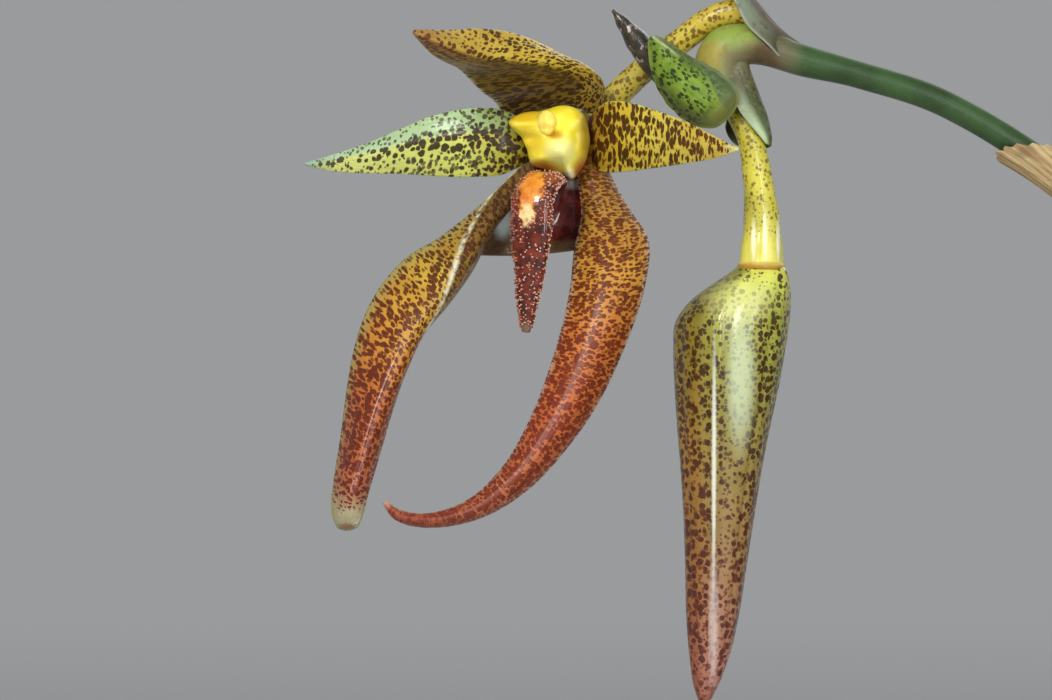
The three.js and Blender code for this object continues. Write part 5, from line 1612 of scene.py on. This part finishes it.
def rootFinish():
    p = newFinish("rootSkin", rough=0.62)
    place = p.place()
    paint = p.mix(p.span(p.noise(place, 0.2, 4), 0.35, 0.65), (188, 184, 166), (148, 148, 122))
    stain = p.span(p.noise(place, 0.5, 4, 0.65), 0.58, 0.7)
    paint = p.mix(p.times(stain, 0.6), paint, (120, 96, 62))
    paint = p.mix(p.span(p.zone()[0], 0.93, 1.0), paint, (120, 150, 70))
    return p.dress(paint, p.noise(place, 2.2, 4), 0.25)


# pot and bark

pot = {
    "height": 112, "rimRadius": 68, "rimHeight": 17, "rimStep": 4, "wall": 6, "footRadius": 47, "floor": 8,
    "sides": 128, "drainRadius": 5.5, "drainRing": 27, "drainCount": 5, "bevel": 1.1,
}


def potInner(z):
    foot = pot["footRadius"]
    return foot + (pot["rimRadius"] - pot["rimStep"] - foot) * z / pot["height"] - pot["wall"]


def potProfile():
    top = pot["height"] - pot["rimHeight"]
    outer = [[0, 0], [20, 0], [pot["footRadius"] - 1.6, 0], [pot["footRadius"], 1.6]]
    outer += [[potInner(z) + pot["wall"], z] for z in (24, 48, 72, top - 1, top)]
    rim, high = pot["rimRadius"], pot["height"]
    outer += [[rim - 1, top + 1.5], [rim, top + 4], [rim, top + 9], [rim, high - 3], [rim - 2, high]]
    inner = [[potInner(high) + 1.5, high], [potInner(high), high - 2]]
    inner += [[potInner(z), z] for z in (84, 56, 28)]
    return outer + inner + [[potInner(pot["floor"]) - 2, pot["floor"]], [0, pot["floor"]]]


def buildPot():
    piece = turnedPiece("clayPot", potProfile(), pot["sides"], 60)
    sharp = {"limit_method": "ANGLE", "angle_limit": math.radians(24)}
    applyModifier(piece, "BEVEL", width=pot["bevel"] * mm, segments=3, **sharp)
    ring, radius = pot["drainRing"] * mm, pot["drainRadius"] * mm
    for k in range(pot["drainCount"]):
        angle = 2 * math.pi * k / pot["drainCount"]
        place = (ring * math.cos(angle), ring * math.sin(angle), pot["floor"] / 2 * mm)
        drill = startFrom(bpy.ops.mesh.primitive_cylinder_add, radius=radius, depth=24 * mm, location=place)
        applyModifier(piece, "BOOLEAN", operation="DIFFERENCE", object=drill, solver="EXACT")
        bpy.data.objects.remove(drill)
    finishPiece(piece, clayFinish(), ["pot"], angle=35)
    print("pot done")


def clayFinish():
    p = newFinish("claySkin", rough=0.86)
    place = p.place()
    z = p.parts(place)[2]
    broad = p.noise(place, 0.018, 4)
    fine = p.noise(place, 0.5, 5, 0.65)
    salt = p.times(p.times(p.span(broad, 0.48, 0.68), p.span(fine, 0.4, 0.6)), p.span(z, 4, 40, 0.75, 0.4))
    green = p.span(p.noise(place, 0.04, 5, 0.7), 0.52, 0.66)
    paint = p.mix(p.span(broad, 0.3, 0.7), (168, 92, 58), (196, 116, 76))
    layers = [
        (p.span(fine, 0.5, 0.75, 0, 0.35), (142, 74, 46)),
        (salt, (216, 190, 168)),
        (p.times(green, 0.32), (104, 104, 60)),
        (p.span(z, 16, 0, 0, 0.45), (112, 66, 46)),
    ]
    for share, colour in layers:
        paint = p.mix(share, paint, colour)
    p.tree.links.new(p.span(fine, 0.3, 0.8, 0.78, 0.94), p.inputs["Roughness"])
    turning = p.drawn(place, (0.004, 0.004, 0.55), 4, 0.6)
    return p.dress(paint, p.math("ADD", p.times(turning, 0.8), p.times(fine, 0.5)), 0.5)


barkMix = {
    "chips": 150, "crumbs": 120, "length": 23, "width": 14, "thickness": 5.6, "models": 7, "sides": 64,
    "chip": {"size": (0.62, 1.0), "up": (-3.6, 0.2), "spread": 0, "turn": 0},
    "crumb": {"size": (0.22, 0.4), "up": (-0.6, 1.2), "spread": 2, "turn": 1.1},
}


def chipModel(number):
    # one torn flake of bark, about 2 across, with plates and ragged ends
    piece = startFrom(bpy.ops.mesh.primitive_cube_add, size=2)
    editAll(piece, (bpy.ops.mesh.subdivide, {"number_cuts": 4}))
    moved = []
    for vertex in piece.data.vertices:
        x, y, z = vertex.co
        seed = Vector((number * 7.1, number * 3.7, 0))
        corner = 1 - 0.2 * min(1, abs(x * y)) ** 3
        rag = noise.noise(Vector((x * 1.3, y * 1.3, z * 2.2)) + seed) * 0.34
        plates = 0.16 * math.floor(2.2 * noise.noise(Vector((x * 0.7, y * 1.8, 0)) + seed * 2) + 0.5)
        x, y = x * (corner + rag * abs(x) ** 3), y * (corner + rag * 0.8 * abs(y))
        moved.append((x, y, z * (1 + rag) + plates * (z > 0)))
    setPlaces(piece.data, np.array(moved))
    applyModifier(piece, "BEVEL", width=0.06, segments=1, limit_method="ANGLE", angle_limit=math.radians(40))
    return piece


def barkFinish():
    p = newFinish("barkSkin", rough=0.88)
    place = p.place()
    shade = p.node("Attribute", attribute_name="shade").outputs["Fac"]
    fibres = p.drawn(place, (0.25, 0.9, 1.6), 6, 0.7)
    dark = p.mix(shade, (64, 40, 26), (120, 78, 48))
    light = p.mix(shade, (112, 76, 50), (172, 126, 84))
    green = p.span(p.noise(place, 0.06, 4), 0.6, 0.72)
    paint = p.mix(p.times(green, 0.4), p.mix(p.span(fibres, 0.35, 0.7), dark, light), (88, 94, 40))
    return p.dress(paint, fibres, 0.9)


def buildBark():
    top = barkSurface
    profile = [[0, 8.5], [potInner(8) - 2.6, 8.5], [potInner(56) - 0.6, 56]]
    profile += [[potInner(top) - 0.8, top - 6], [potInner(top) - 6, top - 4], [0, top - 3]]
    piece = turnedPiece("barkMix", profile, barkMix["sides"], 50)
    piece.data.attributes.new("shade", "FLOAT", "POINT")
    models = [chipModel(k) for k in range(barkMix["models"])]
    spread = potInner(top) - 8
    golden = math.pi * (3 - math.sqrt(5))
    chips, count = [], barkMix["chips"]
    for k in range(count + barkMix["crumbs"]):
        kind = barkMix["crumb" if k >= count else "chip"]
        size = random.uniform(*kind["size"])
        radius = (spread + kind["spread"]) * math.sqrt((k % count + 0.5) / count)
        turn = golden * k + kind["turn"]
        deep = random.uniform(*kind["up"])
        sides = [barkMix[key] / 2 * size * mm for key in ("length", "width", "thickness")]
        tilt = 0.3 if radius < spread * 0.8 else 0.18
        spin = Euler((random.uniform(-tilt, tilt), random.uniform(-tilt, tilt), random.uniform(0, math.pi)))
        middle = Vector((radius * math.cos(turn), radius * math.sin(turn), top + deep + 1.2)) * mm
        stand = Matrix.Translation(middle) @ spin.to_matrix().to_4x4() @ Matrix.Diagonal((*sides, 1))
        twin = stampCopy(models[k % len(models)], stand)
        shade = twin.data.attributes.new("shade", "FLOAT", "POINT")
        shade.data.foreach_set("value", np.full(len(twin.data.vertices), random.random(), np.float32))
        chips.append(twin)
    for model in models:
        bpy.data.objects.remove(model)
    joinInto(piece, chips)
    finishPiece(piece, barkFinish(), ["bark_mix"], angle=40)
    print("bark done")


# floor, light and camera

stagePlan = {
    "floorRadius": 16.0, "fadeFrom": 1.0, "fadeTo": 7.0, "floorTint": (204, 203, 200),
        "floorFleck": (210, 209, 206),
    "worldTint": (206, 208, 210), "worldStrength": 0.52,
}
lights = [
    # name, place, aimed at, size, power, colour, spread: in metres, watts and degrees
    ("key", (-0.75, -1.25, 1.15), (-0.19, 0.0, 0.3), (0.4, 0.4), 17.0, (1.0, 0.98, 0.94), 180),
    ("strip", (0.2, -1.1, 0.5), (-0.17, 0.0, 0.28), (0.07, 0.8), 1.3, (0.94, 0.98, 1.0), 100),
    ("fill", (0.9, -1.4, 1.3), (0.0, 0.0, 0.2), (0.9, 0.9), 1.3, (0.97, 0.99, 1.0), 120),
    ("side", (0.6, -0.95, 0.45), (-0.17, 0.0, 0.28), (0.2, 0.6), 0.65, (0.94, 0.99, 1.0), 100),
    ("back", (0.6, 1.3, 1.3), (0.0, 0.0, 0.2), (1.2, 1.2), 8.0, (1.0, 0.99, 0.97), 180),
]
cameraPlan = {"place": (-0.195, -1.5, 0.290), "frameWidth": 0.2104, "sensor": 36.0, "clipEnd": 100}


def buildStage():
    radius = stagePlan["floorRadius"]
    floor = startFrom(bpy.ops.mesh.primitive_circle_add, vertices=96, radius=radius, fill_type="NGON")
    floor.name = floor.data.name = "floor"
    p = newFinish("floorPaint", rough=0.8)
    at = p.node("TexCoord").outputs["Object"]
    far = p.node("VectorMath", {0: at}, operation="LENGTH").outputs["Value"]
    paint = p.mix(p.noise(at, 40, 3), stagePlan["floorTint"], stagePlan["floorFleck"])
    p.tree.links.new(paint, p.inputs["Base Color"])
    p.tree.links.new(p.span(far, stagePlan["fadeTo"], stagePlan["fadeFrom"]), p.inputs["Alpha"])
    floor.data.materials.append(p.material)
    world = bpy.data.worlds.new("studio")
    bpy.context.scene.world = world
    world.use_nodes = True
    air = world.node_tree.nodes["Background"].inputs
    air["Color"].default_value = tint(*stagePlan["worldTint"])
    air["Strength"].default_value = stagePlan["worldStrength"]
    for name, place, target, (wide, high), power, colour, spread in lights:
        lamp = bpy.data.lights.new(name, "AREA")
        lamp.shape = "RECTANGLE"
        lamp.size, lamp.size_y = wide, high
        lamp.energy = power
        lamp.color = colour
        lamp.spread = math.radians(spread)
        holder = bpy.data.objects.new(name, lamp)
        holder.location = place
        aim = Vector(target) - Vector(place)
        holder.rotation_euler = aim.to_track_quat("-Z", "Y").to_euler()
        bpy.context.scene.collection.objects.link(holder)
    print("stage done")


def buildCamera():
    lens = bpy.data.cameras.new("camera")
    lens.sensor_width = cameraPlan["sensor"]
    lens.lens = cameraPlan["sensor"] * -cameraPlan["place"][1] / cameraPlan["frameWidth"]
    lens.clip_end = cameraPlan["clipEnd"]
    camera = bpy.data.objects.new("camera", lens)
    camera.location = cameraPlan["place"]
    camera.rotation_euler = (math.pi / 2, 0, 0)
    bpy.context.scene.collection.objects.link(camera)
    bpy.context.scene.camera = camera
    bpy.context.scene.view_settings.view_transform = "Standard"


buildBlades()
buildColumn()
buildLip()
buildStalks()
buildBracts()
dryPaper = paperFinish("sheathSkin", (196, 172, 126), (140, 110, 70))
buildStem(dryPaper)
buildBulbs(dryPaper)
buildCreepingStem()
buildPot()
buildBark()
buildStage()
buildCamera()
